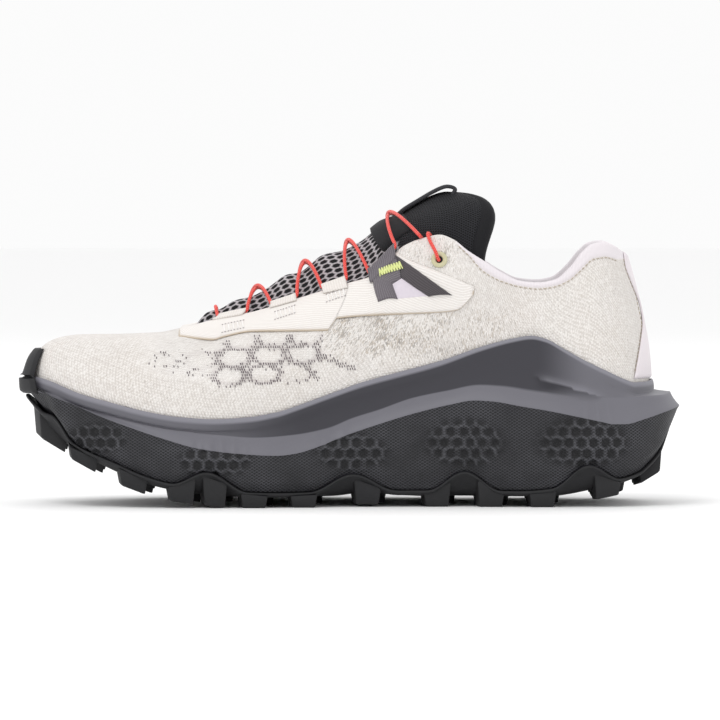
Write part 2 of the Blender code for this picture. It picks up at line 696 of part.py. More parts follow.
def shape_lug(verts, rank, across):
    """Turns a unit box into a lug: a swept rear edge, a narrower tip, and a root in the sheet above it."""
    medial, lateral = half_breadths(rank.along)
    middle, reach = (medial + lateral) / 2, (lateral - medial) / 2
    centre_y = middle + across * reach
    at_edge = abs(across) > 0.6
    for v in verts:
        tip = v.co.z < 0
        scale = LUG_TAPER if tip else 1.0
        along = rank.along + v.co.x * rank.length * scale
        y = centre_y + v.co.y * rank.width * BALL_WIDTH * scale
        if at_edge:
            swept = 0.5 * LUG_SWEEP * (v.co.y * across > 0)
        else:
            swept = LUG_SWEEP * (v.co.y * (across or 1) > 0)
        along += swept * (1 if v.co.x > 0 else 0.6)
        x = float(place(along))
        if tip:
            z = max(float(underside(along)) - LUG_HEIGHT, 0.0)
        else:
            z = sheet_underside(x, y) + LUG_ROOT
        v.co = Vector((x, y, z))


def lugs_body():
    """All the lugs as one helper of separate boxes."""
    work = bmesh.new()
    for rank in LUG_RANKS:
        for across in rank.across:
            made = bmesh.ops.create_cube(work, size=1.0)
            shape_lug(made["verts"], rank, across)
    bmesh.ops.recalc_face_normals(work, faces=work.faces)
    mesh = bpy.data.meshes.new("lugs")
    work.to_mesh(mesh)
    work.free()
    return hide(add("lugs", mesh, CUTTERS))


def above_sheet(turn):
    """A helper that fills the room above the middle of the outsole's sheet, to trim the lugs' roots."""
    depth = 0.45 * OUTSOLE_SHEET
    edge = outsole_edge(outline_along(turn)) - depth
    rings = [
        towards_spine(turn, FOOT_INSET, SPINE_SHARE, lambda a: underside(a) + OUTSOLE_SHEET - depth),
        ring(turn, FOOT_INSET, lambda a: underside(a) + OUTSOLE_SHEET - depth),
        scallop_ring(turn, -depth),
        ring(turn, EDGE_INSET, edge),
        ring(turn, EDGE_INSET - 0.006, edge - 0.5 * OUTSOLE_SHEET),
        ring(turn, EDGE_INSET - 0.006, edge + SIDEWALL_PEAK),
        towards_spine(turn, FOOT_INSET, SPINE_SHARE, lambda a: 0 * a + 2 * SIDEWALL_PEAK),
    ]
    trimmer = hide(ring_body("above_sheet", rings, "zip"))
    PARTS.objects.unlink(trimmer)
    CUTTERS.objects.link(trimmer)
    return trimmer


def make_outsole(turn):
    outsole = ring_body("outsole", outsole_rings(turn), "zip")
    lugs = lugs_body()
    boolean(lugs, above_sheet(turn), "DIFFERENCE")
    boolean(outsole, lugs, "UNION")
    drop_slivers(outsole)
    return outsole


def shell_rises(turn):
    """The rises of the upper's rings, from its lower edge to the collar and throat."""
    lip = lip_rise(turn)
    return [lip * part for part in CUP_PARTS[:-1]] + [lip + (1 - lip) * part for part in SHELL_PARTS]


def make_upper(turn):
    """The knitted shell: its outer rings up to the collar and throat, then its inner rings down again."""
    rises = shell_rises(turn)
    rings = [upper_point(turn, rise) for rise in rises]
    for rise in rises[::-1]:
        rings.append(upper_point(turn, rise, -wall(turn, rise)))
    rings[-1][:, 2] = rings[0][:, 2]
    return ring_body("upper", rings, "tube")


def make_insole(turn):
    """A loose footbed inside the upper's lower edge."""
    inset = feather_inset(turn) * FLARE + UPPER_WALL + 4 * CLEARANCE
    low = lambda a: footbed(a) + CLEARANCE
    high = lambda a: footbed(a) + CLEARANCE + INSOLE_THICKNESS
    rings = [
        towards_spine(turn, FLARE + 0.006, SPINE_SHARE, low),
        ring(turn, inset, low),
        ring(turn, inset + 0.0012, high),
        towards_spine(turn, FLARE + 0.006, SPINE_SHARE, high),
    ]
    return ring_body("insole", rings, "zip")


def patch(name, turn, rise, lift):
    """An overlay on the upper over a grid of turns and rises. lift is its inner face's height."""
    inner = upper_point(turn, rise, lift + 0 * turn)
    outer = upper_point(turn, rise, lift + OVERLAY + 0 * turn)
    return slab(name, outer, inner)


def make_eyestay():
    """The U-shaped reinforcement round the throat, from one ear to the other."""
    rear, _ = locate(EYESTAY_HIGH_LINE[-1][0] - 0.006, EYESTAY_HIGH_LINE[-1][1] * EAR_HEIGHT)
    first = math.ceil(rear * TURNS)
    turn = np.concatenate([[rear], np.arange(first, TURNS - first + 1) / TURNS, [1 - rear]])

    def over_low_line(points):
        along = share(points[..., 0])
        return np.minimum(points[..., 2] - eyestay_low(along) * EAR_HEIGHT, along - EYESTAY_FRONT)

    low = rise_where(turn, over_low_line)
    high = rise_where(turn, lambda p: p[..., 2] - eyestay_high(share(p[..., 0])) * EAR_HEIGHT)
    high = np.clip(high, low + 0.02, EDGE_RISE)
    rises = [np.clip(rise, low, high) for rise in shell_rises(turn)[EYESTAY_RINGS:]]
    rise = np.stack(rises, 1)
    return patch("eyestay", turn[:, None] + 0 * rise, rise, OVERLAY_GAP)


def make_wing(side):
    """Webbing saddle over the eyestay, in the shape of an upturned V."""
    pairs = np.array(WING_PAIRS)
    step = np.arange(0, len(pairs) - 0.75, 0.5)
    outer_along, outer_height, inner_along, inner_height = (
        np.interp(step, np.arange(len(pairs)), column) for column in pairs.T
    )
    outer = locate(outer_along, outer_height * EAR_HEIGHT)
    inner = locate(inner_along, inner_height * EAR_HEIGHT)
    part = np.linspace(0, 1, 4)[None, :]
    turn = outer[0][:, None] * (1 - part) + inner[0][:, None] * part
    rise = outer[1][:, None] * (1 - part) + inner[1][:, None] * part
    return patch("wing_" + side, on_side(turn, side), rise, OVERLAY + 2.5 * OVERLAY_GAP)


def make_heel_panel():
    """The smooth panel round the back of the heel."""
    top = EDGE_RISE - 0.03
    rise = np.linspace(float(lip_rise(np.array([0.0]))[0]) + 0.05, top, 6)
    low, high = 0 * rise, 0.2 + 0 * rise
    for _ in range(24):
        turn = (low + high) / 2
        points = upper_point(turn, rise)
        inside = share(points[..., 0]) > heel_seam(points[..., 2] / EAR_HEIGHT)
        low = np.where(inside, turn, low)
        high = np.where(inside, high, turn)
    part = np.linspace(-1, 1, 11)[:, None]
    return patch("heel_panel", part * turn[None, :], rise[None, :] + 0 * part, OVERLAY_GAP)


def make_toe_bumper():
    """The rubber tab that runs from the sole up the front of the toe."""
    part = np.linspace(-1, 1, 7)[:, None]
    spread = np.array([0.052, 0.048, 0.044, 0.040, 0.036, 0.026])[None, :]
    turn = 0.5 + part * spread
    column = turn[:, 0]
    lip = lip_rise(turn[:, 3])
    top = rise_where(turn[:, 5], lambda p: p[..., 2] - BUMPER_HEIGHT)
    lower = upper_point(turn[:, 3], lip, 3 * CLEARANCE + LIP_WIDTH + 0 * lip)
    crease = crease_height(0.0) * SIDEWALL_PEAK
    edge = float(outsole_edge(0.0)) + 2 * CLEARANCE
    inner = [
        ring(column, BUMPER_THICKNESS + CLEARANCE, edge),
        ring(turn[:, 1], BUMPER_THICKNESS, crease),
        ring(turn[:, 2], BUMPER_THICKNESS, lower[:, 2].max() - 0.001),
        lower + np.array([0.0, 0.0, 0.0006]),
        upper_point(turn[:, 4], (lip + top) / 2, 0.5 * LIP_WIDTH + 2 * CLEARANCE + 0 * lip),
        upper_point(turn[:, 5], top, 2 * CLEARANCE + 0 * lip),
    ]
    inner = np.stack(inner, 1)
    along, up = np.gradient(inner, axis=0), np.gradient(inner, axis=1)
    normal = unit(np.cross(up, along))
    return slab("toe_bumper", inner + normal * BUMPER_THICKNESS, inner)


def tongue_faces():
    """Grids of the tongue's outer and inner face: a row for each TongueRow, columns from medial to lateral."""
    rows = TONGUE_ROWS
    medial = turn_at_edge([row.throat for row in rows])
    medial[0] = 0.5
    pad = np.array([row.pad for row in rows])
    thick = TONGUE_THICKNESS + (TONGUE_RIM - TONGUE_THICKNESS) * pad
    middle = np.array([(place(row.along), MIDDLE_Y, row.height * EAR_HEIGHT) for row in rows])
    sweep = np.array([row.sweep for row in rows])[:, None] * SOLE_LENGTH
    halves, normals = [], []
    for turn in (medial, 1 - medial):
        gap = 3 * CLEARANCE
        flank = [upper_point(turn, rise, -(wall(turn, rise) + gap)) for rise in FLANK_RISES]
        away = [unit(upper_point(turn, rise, 0.001 + 0 * turn) - upper_point(turn, rise)) for rise in FLANK_RISES]
        edge = flank[-1]
        centre = middle.copy()
        centre[0] = edge[0]
        onwards = edge_frame(turn)[1]
        reach = np.linalg.norm(centre - edge, axis=-1, keepdims=True)
        first = edge + 0.38 * reach * onwards
        last = centre + 0.48 * (edge - centre) * np.array([0, 1, 0]) + sweep * np.array([1, 0, 0])
        last[0] = edge[0]
        columns = list(flank)
        for u in ARCH_PARTS:
            columns.append(
                (1 - u) ** 3 * edge + 3 * u * (1 - u) ** 2 * first + 3 * u * u * (1 - u) * last + u**3 * centre
            )
        halves.append(np.stack(columns, 1))
        normals.append(np.stack(away, 1))
    outer = np.concatenate([halves[0], halves[1][:, -2::-1]], 1)
    normal = np.cross(np.gradient(outer, axis=0), np.gradient(outer, axis=1))
    normal[0] = normals[0][0, -1]
    flanks = len(FLANK_RISES)
    normal[:, :flanks] = normals[0]
    normal[:, -flanks:] = normals[1][:, ::-1]
    normal = unit(normal)
    inner = outer - normal * thick[:, None, None]
    end = unit(outer[-1] - outer[-2]) * 0.25 * TONGUE_RIM
    outer_end = outer[-1] - normal[-1] * 0.28 * TONGUE_RIM + end
    inner_end = inner[-1] + normal[-1] * 0.28 * TONGUE_RIM + end
    return np.concatenate([outer, outer_end[None]]), np.concatenate([inner, inner_end[None]])


def strip(name, path, left, right, thickness):
    """Webbing of a thickness along a path of (forwards, upwards) pairs, stretched between two frames,
    each an origin with its two directions."""
    step = unit(np.gradient(path, axis=0))
    normal = np.stack([-step[:, 1], step[:, 0]], -1)
    faces = []
    for side in (0.5, -0.5):
        line = path + normal * side * thickness
        ends = []
        for origin, forwards, upwards in (left, right):
            ends.append(origin + line[:, :1] * forwards + line[:, 1:] * upwards)
        faces.append(np.stack(ends, 1))
    return slab(name, faces[0], faces[1])


def loop_centre():
    """Where the lace's middle lies in a loop: past the throat's edge, and outwards."""
    bend = LACE_DIAMETER / 2 + CLEARANCE + WEBBING / 2
    leg = 1.5 * OVERLAY_GAP + OVERLAY + WEBBING / 2
    return bend, leg, np.array([1.5 * bend, leg - 0.3 * bend])


def make_lace_loop(number, loop, side):
    """A strip that lies on the eyestay, rises past the throat's edge and hooks round the lace."""
    bend, leg, centre = loop_centre()
    lift = 0.0 if number < len(LACE_LOOPS) else OVERLAY + 2.2 * OVERLAY_GAP
    angle = np.radians([90, 45, 0, -45, -90, -130])
    hook = centre + bend * np.stack([np.cos(angle), np.sin(angle)], -1)
    foot = np.array([(-LOOP_FOOT, leg), (-0.35 * LOOP_FOOT, leg)])
    path = np.concatenate([foot, hook]) + np.array([0, lift])
    frames = [edge_frame(on_side(turn_at_edge(at), side)) for at in (loop.front, loop.rear)]
    return strip(f"lace_loop_{side}_{number}", path, frames[0], frames[1], WEBBING)


def make_tongue_tab():
    """The pull loop over the top of the tongue."""
    path = np.array([(place(along), height * EAR_HEIGHT) for along, height in TAB_LINE])
    forwards, upwards = np.array([1.0, 0, 0]), np.array([0, 0, 1.0])
    frames = [(np.array([0, MIDDLE_Y + y, 0]), forwards, upwards) for y in (-TAB_WIDTH / 2, TAB_WIDTH / 2)]
    return strip("tongue_tab", path, frames[0], frames[1], TAB_THICKNESS)


def eyelet_frame(side):
    """Centre of an eyelet on the upper's outer face, its outward direction and the wall's thickness."""
    turn, rise = locate(EYELET_ALONG, EYELET_HEIGHT * EAR_HEIGHT)
    turn = on_side(turn, side)
    centre = upper_point(turn, rise)
    return centre, unit(upper_point(turn, rise, 0.001) - centre), float(wall(turn, rise))


def stand(obj, centre, direction):
    """Places obj with its Z along a direction."""
    obj.rotation_euler = Vector(direction).to_track_quat("Z", "Y").to_euler()
    obj.location = centre
    return obj


def make_eyelet(side):
    """A turned grommet: a flange on the ear's outer face and a barrel through its wall."""
    centre, direction, thickness = eyelet_frame(side)
    top, seat, foot = CLEARANCE + EYELET_THICKNESS, CLEARANCE, -thickness
    hole, barrel, flange = EYELET_HOLE / 2, EYELET_BARREL / 2, EYELET_FLANGE / 2
    profile = [(hole, top), (flange, top), (flange, seat), (barrel, seat), (barrel, foot), (hole, foot)]
    mesh = bpy.data.meshes.new("eyelet_" + side)
    mesh.from_pydata(
        [(x, 0, z) for x, z in profile], [(i, (i + 1) % len(profile)) for i in range(len(profile))], []
    )
    eyelet = stand(add("eyelet_" + side, mesh), centre, direction)
    screw = eyelet.modifiers.new("turn", "SCREW")
    screw.steps = screw.render_steps = 14
    screw.use_merge_vertices = True
    screw.merge_threshold = WELD
    return eyelet


def cut_eyelet_hole(upper, side):
    centre, direction, thickness = eyelet_frame(side)
    work = bmesh.new()
    radius = EYELET_BARREL / 2 + CLEARANCE
    bmesh.ops.create_cone(
        work, cap_ends=True, segments=14, radius1=radius, radius2=radius, depth=4 * thickness
    )
    mesh = bpy.data.meshes.new("eyelet_hole")
    work.to_mesh(mesh)
    work.free()
    boolean(upper, stand(hide(add("eyelet_hole", mesh, CUTTERS)), centre, direction), "DIFFERENCE")


def loop_mouth(at, side, beyond):
    """Where the lace leaves a loop's edge, a little beyond it along the shoe."""
    top, onwards, away = edge_frame(on_side(turn_at_edge(at), side))
    forwards, upwards = loop_centre()[2]
    return top + forwards * onwards + upwards * away + np.array([beyond, 0, 0])


def refined(grid, times):
    """The grid with its rows and columns divided, in straight lines between its points."""
    for axis in (0, 1):
        rows = grid.shape[axis]
        step = np.linspace(0, rows - 1, (rows - 1) * times + 1)
        low = np.minimum(step.astype(int), rows - 2)
        shape = [1, 1, 1]
        shape[axis] = -1
        part = (step - low).reshape(shape)
        grid = np.take(grid, low, axis) * (1 - part) + np.take(grid, low + 1, axis) * part
    return grid


def over_tongue(points, spots):
    """Lifts a path's points so that the lace clears the spots of the tongue under it."""
    lifted = points.copy()
    for k, point in enumerate(points):
        away = np.hypot(spots[:, 0] - point[0], spots[:, 1] - point[1])
        height = spots[away < max(LACE_DIAMETER / 2, away.min() + WELD), 2].max()
        lifted[k, 2] = max(point[2], height + LACE_DIAMETER / 2 + 3 * CLEARANCE)
    return lifted


def cord(name, points):
    """A lace as a tube along a path."""
    curve = bpy.data.curves.new(name, "CURVE")
    curve.dimensions = "3D"
    curve.bevel_depth = LACE_DIAMETER / 2
    curve.bevel_resolution = 2
    curve.use_fill_caps = True
    spline = curve.splines.new("POLY")
    spline.points.add(len(points) - 1)
    for slot, point in zip(spline.points, points):
        slot.co = (*map(float, point), 1)
    return add(name, curve)


def as_mesh(obj):
    """Turns a curve object into a mesh object with its caps welded on."""
    name = obj.name
    bpy.context.view_layer.update()
    mesh = bpy.data.meshes.new_from_object(obj.evaluated_get(bpy.context.evaluated_depsgraph_get()))
    bpy.data.objects.remove(obj)
    work = bmesh.new()
    work.from_mesh(mesh)
    bmesh.ops.remove_doubles(work, verts=work.verts, dist=WELD)
    work.to_mesh(mesh)
    work.free()
    return add(name, mesh)


def lace_path(start, middle, end, spots):
    """Points from start over the crossing to end, clear of the tongue."""
    u = np.linspace(0, 1, 6)[:, None]
    knee = 2 * middle - (start + end) / 2
    points = (1 - u) ** 2 * start + 2 * u * (1 - u) * knee + u * u * end
    return over_tongue(points, spots)


def make_crossing(number, spots):
    """Two laces that cross on the middle line, joined where they meet."""
    loop = LACE_LOOPS[number - 1]
    at = CROSSINGS[number - 1]
    height = float(np.interp(at, [row.along for row in TONGUE_ROWS], [row.height for row in TONGUE_ROWS]))
    middle = np.array([float(place(at)), MIDDLE_Y, height * EAR_HEIGHT + LACE_DIAMETER])
    cords = []
    for side, far in (("medial", "lateral"), ("lateral", "medial")):
        start = loop_mouth(loop.rear, side, LACE_TIP)
        middle[2] += len(cords) * 0.6 * LACE_DIAMETER
        if number < len(LACE_LOOPS):
            end = loop_mouth(LACE_LOOPS[number].front, far, -LACE_TIP)
        else:
            end = loop_mouth(EAR_PASS, far, 0.0)
        cords.append(as_mesh(cord(f"lace_crossing_{number}", lace_path(start, middle, end, spots))))
    boolean(cords[0], cords[1], "UNION")
    cords[0].name = f"lace_crossing_{number}"


def make_lace_bar(spots):
    """The straight bar between the two foremost loops."""
    start = loop_mouth(LACE_LOOPS[0].front, "medial", -LACE_TIP)
    end = loop_mouth(LACE_LOOPS[0].front, "lateral", -LACE_TIP)
    middle = (start + end) / 2
    return cord("lace_bar", lace_path(start, middle, end, spots))


def make_lace_end(side):
    """The end of the lace: out of the eyelet, up the ear and over its edge."""
    centre, direction, _ = eyelet_frame(side)
    top, onwards, away = edge_frame(on_side(turn_at_edge(EAR_RETURN), side))
    clear = LACE_DIAMETER / 2 + CLEARANCE
    points = [
        centre + direction * (EYELET_THICKNESS + CLEARANCE + clear),
        (2 * centre + top) / 3 + direction * (EYELET_THICKNESS + 2 * clear),
        (centre + 2 * top) / 3 + away * (EYELET_THICKNESS + 1.5 * clear),
        top + away * 1.2 * clear + onwards * 0.3 * clear,
        top + away * 0.6 * clear + onwards * 1.2 * clear,
        top - away * 0.5 * clear + onwards * 1.6 * clear,
    ]
    return cord("lace_end_" + side, points)


Finish = namedtuple("Finish", "red green blue roughness")
FINISHES = {  # linear colour of each kind of piece, by the start of its name
    "outsole": Finish(0.013, 0.013, 0.015, 0.75),
    "toe_bumper": Finish(0.013, 0.013, 0.015, 0.70),
    "midsole": Finish(0.150, 0.145, 0.165, 0.60),
    "insole": Finish(0.020, 0.020, 0.022, 0.90),
    "upper": Finish(0.800, 0.760, 0.700, 0.85),
    "heel_panel": Finish(0.790, 0.730, 0.760, 0.70),
    "eyestay": Finish(0.810, 0.760, 0.700, 0.60),
    "wing": Finish(0.110, 0.095, 0.100, 0.70),
    "lace_loop": Finish(0.700, 0.660, 0.610, 0.80),
    "eyelet": Finish(0.570, 0.560, 0.380, 0.45),
    "tongue": Finish(0.022, 0.022, 0.026, 0.90),
    "lace": Finish(0.870, 0.090, 0.060, 0.60),
}


def give_material(obj):
    """Gives a piece its own material."""
    finish = next(finish for start, finish in FINISHES.items() if obj.name.startswith(start))
    material = bpy.data.materials.new(obj.name)
    material.use_nodes = True
    shader = material.node_tree.nodes["Principled BSDF"]
    shader.inputs["Base Color"].default_value = (finish.red, finish.green, finish.blue, 1)
    shader.inputs["Roughness"].default_value = finish.roughness
    obj.data.materials.clear()
    obj.data.materials.append(material)


def main():
    for obj in list(bpy.data.objects):
        bpy.data.objects.remove(obj)
    bpy.context.scene.collection.children.link(PARTS)
    bpy.context.scene.collection.children.link(CUTTERS)
    turn = np.arange(TURNS) / TURNS
    ring_body("midsole", midsole_rings(turn), "zip")
    make_outsole(turn)
    upper = make_upper(turn)
    make_insole(turn)
    make_eyestay()
    make_heel_panel()
    make_toe_bumper()
    outer, inner = tongue_faces()
    slab("tongue", outer, inner, folded=True)
    make_tongue_tab()
    for side in ("medial", "lateral"):
        make_wing(side)
        cut_eyelet_hole(upper, side)
        make_eyelet(side)
        for number, loop in enumerate(LACE_LOOPS, 1):
            make_lace_loop(number, loop, side)
        make_lace_end(side)
    spots = refined(outer, 4).reshape(-1, 3)
    make_lace_bar(spots)
    for number in range(1, len(CROSSINGS) + 1):
        make_crossing(number, spots)
    for obj in PARTS.objects:
        give_material(obj)


main()
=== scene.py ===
"""Looks of the trail running shoe, right foot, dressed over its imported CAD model. Metres, +Z up.

The forms follow the same sections and side-view lines as the CAD solids, read at a finer step.
A ring is read at turns from 0 to 1: 0 at the middle of the heel, along the medial side, 0.5 at the tip of
the toe, and back along the outside. Maps named UVMap are in metres along and up each surface.
"""

import math
from collections import namedtuple

import bmesh
import bpy
import numpy as np
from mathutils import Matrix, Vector, noise


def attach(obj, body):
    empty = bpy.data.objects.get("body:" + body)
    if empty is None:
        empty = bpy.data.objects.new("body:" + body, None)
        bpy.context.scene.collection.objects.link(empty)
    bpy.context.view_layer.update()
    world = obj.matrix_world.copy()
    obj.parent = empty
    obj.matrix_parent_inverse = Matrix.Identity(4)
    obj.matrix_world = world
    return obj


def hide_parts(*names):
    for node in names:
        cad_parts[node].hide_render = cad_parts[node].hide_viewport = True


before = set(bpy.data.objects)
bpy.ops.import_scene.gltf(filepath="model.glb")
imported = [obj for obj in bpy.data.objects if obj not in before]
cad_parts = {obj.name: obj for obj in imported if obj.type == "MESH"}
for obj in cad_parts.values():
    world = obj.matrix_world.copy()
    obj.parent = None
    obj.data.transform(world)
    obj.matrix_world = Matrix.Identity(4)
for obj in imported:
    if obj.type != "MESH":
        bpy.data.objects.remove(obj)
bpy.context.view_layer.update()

# Driving dimensions
SOLE_LENGTH = 0.300
BALL_WIDTH = 0.114
SIDEWALL_PEAK = 0.0766
EAR_HEIGHT = 0.1225
COLLAR_WIDTH = 0.066
TOE_SPRING = 0.0356
FLARE = 0.014
FOOTBED_HEIGHT = 0.040

# Thicknesses
UPPER_WALL = 0.0022
COLLAR_WALL = 0.0065
OUTSOLE_SHEET = 0.0022
LUG_HEIGHT = 0.0045
LIP_WIDTH = 0.0018
INSOLE_THICKNESS = 0.0045
OVERLAY = 0.0008
TONGUE_THICKNESS = 0.0045
TONGUE_RIM = 0.0095
TAB_WIDTH = 0.0120
TAB_THICKNESS = 0.0012
BUMPER_THICKNESS = 0.0017
BUMPER_HEIGHT = 0.0700
WEBBING = 0.0007
LACE_DIAMETER = 0.0019
EYELET_FLANGE = 0.0073
EYELET_HOLE = 0.0032
EYELET_BARREL = 0.0044
EYELET_THICKNESS = 0.0008
CLEARANCE = 0.0003
OVERLAY_GAP = 2 * CLEARANCE

# How far the innermost rings move towards the sole's middle line
SPINE_SHARE = 0.86

# One row for each section round the shoe, from the middle of the heel to the tip of the toe.
# along, medial, lateral: the sole's outline. inset: how far the upper's lower edge lies inside it.
# top_along, top_breadth: the edge of the collar and throat. base_* and top_*: the two handles of the
# curve that joins both edges, outwards and upwards.
# along is a share of SOLE_LENGTH, breadths and outwards handles of BALL_WIDTH / 2, inset of FLARE,
# top_breadth of COLLAR_WIDTH / 2, and upwards handles of EAR_HEIGHT.
Section = namedtuple(
    "Section", "along medial lateral inset top_along top_breadth base_out base_up top_out top_up"
)
SECTIONS = tuple(Section(*row) for row in (
    (1.000, 0.000, 0.000, 1.05, 0.917, 0.00, 0.075, 0.21, 0.090, -0.150),
    (0.974, 0.470, 0.450, 1.00, 0.903, 0.42, 0.075, 0.21, 0.080, -0.150),
    (0.895, 0.775, 0.760, 0.80, 0.862, 0.80, 0.080, 0.20, 0.060, -0.160),
    (0.770, 0.790, 0.800, 0.78, 0.770, 0.98, 0.075, 0.19, 0.050, -0.160),
    (0.620, 0.735, 0.830, 0.66, 0.660, 0.97, 0.080, 0.23, 0.110, -0.200),
    (0.465, 0.810, 0.930, 0.56, 0.545, 0.68, 0.105, 0.23, 0.230, -0.140),
    (0.330, 0.935, 0.985, 0.50, 0.445, 0.52, 0.120, 0.23, 0.340, -0.055),
    (0.200, 0.915, 0.860, 0.48, 0.365, 0.40, 0.105, 0.22, 0.390, -0.040),
    (0.090, 0.740, 0.560, 0.44, 0.310, 0.29, 0.090, 0.24, 0.520, -0.055),
    (0.024, 0.455, 0.220, 0.44, 0.272, 0.17, 0.075, 0.29, 0.640, -0.070),
    (0.000, 0.135, 0.135, 0.44, 0.2587, 0.00, 0.070, 0.32, 0.680, -0.070),
))

# Lines of the side view. along is a share of SOLE_LENGTH; height is a share of the size that each names.
TOP_LINE = (  # of EAR_HEIGHT
    (0.2587, 0.645), (0.304, 0.678), (0.354, 0.705), (0.400, 0.738), (0.450, 0.780), (0.500, 0.822),
    (0.535, 0.850), (0.556, 0.900), (0.580, 0.957), (0.607, 0.985), (0.635, 1.000), (0.655, 0.984),
    (0.680, 0.939), (0.705, 0.901), (0.730, 0.862), (0.758, 0.831), (0.784, 0.825), (0.808, 0.834),
    (0.830, 0.876), (0.849, 0.930), (0.867, 0.962), (0.886, 0.970), (0.904, 0.955), (0.917, 0.928),
)
RIM_LINE = (  # top edge of the midsole's side, of SIDEWALL_PEAK
    (0.000, 0.775), (0.047, 0.737), (0.097, 0.662), (0.147, 0.609), (0.197, 0.561), (0.247, 0.530),
    (0.297, 0.519), (0.348, 0.530), (0.393, 0.560), (0.419, 0.592), (0.469, 0.661), (0.519, 0.730),
    (0.570, 0.785), (0.637, 0.855), (0.700, 0.940), (0.745, 0.985), (0.772, 1.000), (0.793, 0.983),
    (0.824, 0.917), (0.855, 0.850), (0.886, 0.790), (0.911, 0.742), (0.926, 0.722), (0.944, 0.722),
    (0.965, 0.742), (1.000, 0.750),
)
RIDGE_LINE = (  # crease between the two smooth facets, of SIDEWALL_PEAK
    (0.000, 0.755), (0.047, 0.700), (0.097, 0.620), (0.147, 0.560), (0.197, 0.505), (0.235, 0.478),
    (0.272, 0.441), (0.306, 0.428), (0.365, 0.411), (0.419, 0.424), (0.469, 0.460), (0.507, 0.520),
    (0.545, 0.567), (0.595, 0.637), (0.647, 0.680), (0.693, 0.712), (0.728, 0.704), (0.769, 0.679),
    (0.809, 0.658), (0.844, 0.644), (0.873, 0.640), (0.920, 0.640), (0.960, 0.650), (1.000, 0.660),
)
CREASE_LINE = (  # lower edge of the smooth facets, of SIDEWALL_PEAK
    (0.000, 0.742), (0.047, 0.655), (0.084, 0.602), (0.122, 0.540), (0.172, 0.471), (0.222, 0.407),
    (0.272, 0.353), (0.331, 0.321), (0.394, 0.307), (0.419, 0.317), (0.457, 0.360), (0.494, 0.420),
    (0.545, 0.488), (0.595, 0.548), (0.647, 0.599), (0.688, 0.627), (0.715, 0.621), (0.755, 0.594),
    (0.796, 0.568), (0.836, 0.537), (0.877, 0.504), (0.899, 0.488), (0.917, 0.488), (0.944, 0.514),
    (0.971, 0.547), (1.000, 0.580),
)
UNDERSIDE_LINE = (  # lower face of the outsole between its lugs, of TOE_SPRING
    (0.000, 1.200), (0.032, 0.995), (0.070, 0.798), (0.120, 0.560), (0.150, 0.440), (0.192, 0.303),
    (0.224, 0.232), (0.280, 0.160), (0.340, 0.126), (0.470, 0.126), (0.520, 0.162), (0.580, 0.138),
    (0.610, 0.126), (0.800, 0.126), (0.868, 0.215), (0.908, 0.290), (0.940, 0.400), (0.970, 0.560),
    (1.000, 0.780),
)
PAD_LINE = (  # edge of the outsole on the side, with its arches taken out, of TOE_SPRING
    (0.000, 1.400), (0.025, 1.210), (0.064, 0.900), (0.089, 0.760), (0.147, 0.560), (0.185, 0.425),
    (0.222, 0.330), (0.260, 0.270), (0.340, 0.205), (0.400, 0.190), (0.500, 0.205), (0.595, 0.210),
    (0.755, 0.205), (0.850, 0.290), (0.900, 0.340), (0.942, 0.430), (0.961, 0.545), (0.977, 0.680),
    (0.988, 0.880), (1.000, 1.130),
)
FOOTBED_LINE = (  # of FOOTBED_HEIGHT
    (0.000, 1.300), (0.050, 1.220), (0.100, 1.060), (0.150, 0.930), (0.200, 0.845), (0.300, 0.765),
    (0.400, 0.775), (0.500, 0.815), (0.600, 0.865), (0.750, 0.940), (0.850, 0.975), (1.000, 1.000),
)
SCALLOP_LINE = ((0.0, 0.0), (0.30, 0.06), (0.62, 0.34), (1.0, 1.0))
EYESTAY_LOW_LINE = (  # lower edge of the reinforcement beside the throat, of EAR_HEIGHT
    (0.240, 0.623), (0.296, 0.610), (0.309, 0.619), (0.356, 0.641), (0.468, 0.646), (0.476, 0.687),
    (0.545, 0.702), (0.637, 0.714), (0.660, 0.721), (0.693, 0.800),
)
EYESTAY_HIGH_LINE = (  # its upper edge behind the fourth loop, of EAR_HEIGHT
    (0.240, 1.200), (0.540, 1.100), (0.572, 0.931), (0.632, 0.866), (0.693, 0.802),
)
HEEL_SEAM_LINE = (  # along at a share of EAR_HEIGHT, for the side edge of the heel panel
    (0.440, 0.925), (0.510, 0.931), (0.600, 0.938), (0.675, 0.942), (0.735, 0.938), (0.810, 0.926),
    (0.887, 0.915), (0.980, 0.912),
)

# Arches in the outsole's side: along and half_length are shares of SOLE_LENGTH, rise of TOE_SPRING.
Arch = namedtuple("Arch", "along half_length rise")
ARCHES = tuple(Arch(*row) for row in (
    (0.052, 0.028, 0.120),
    (0.290, 0.062, 0.215),
    (0.507, 0.066, 0.215),
    (0.672, 0.056, 0.240),
    (0.858, 0.058, 0.235),
))

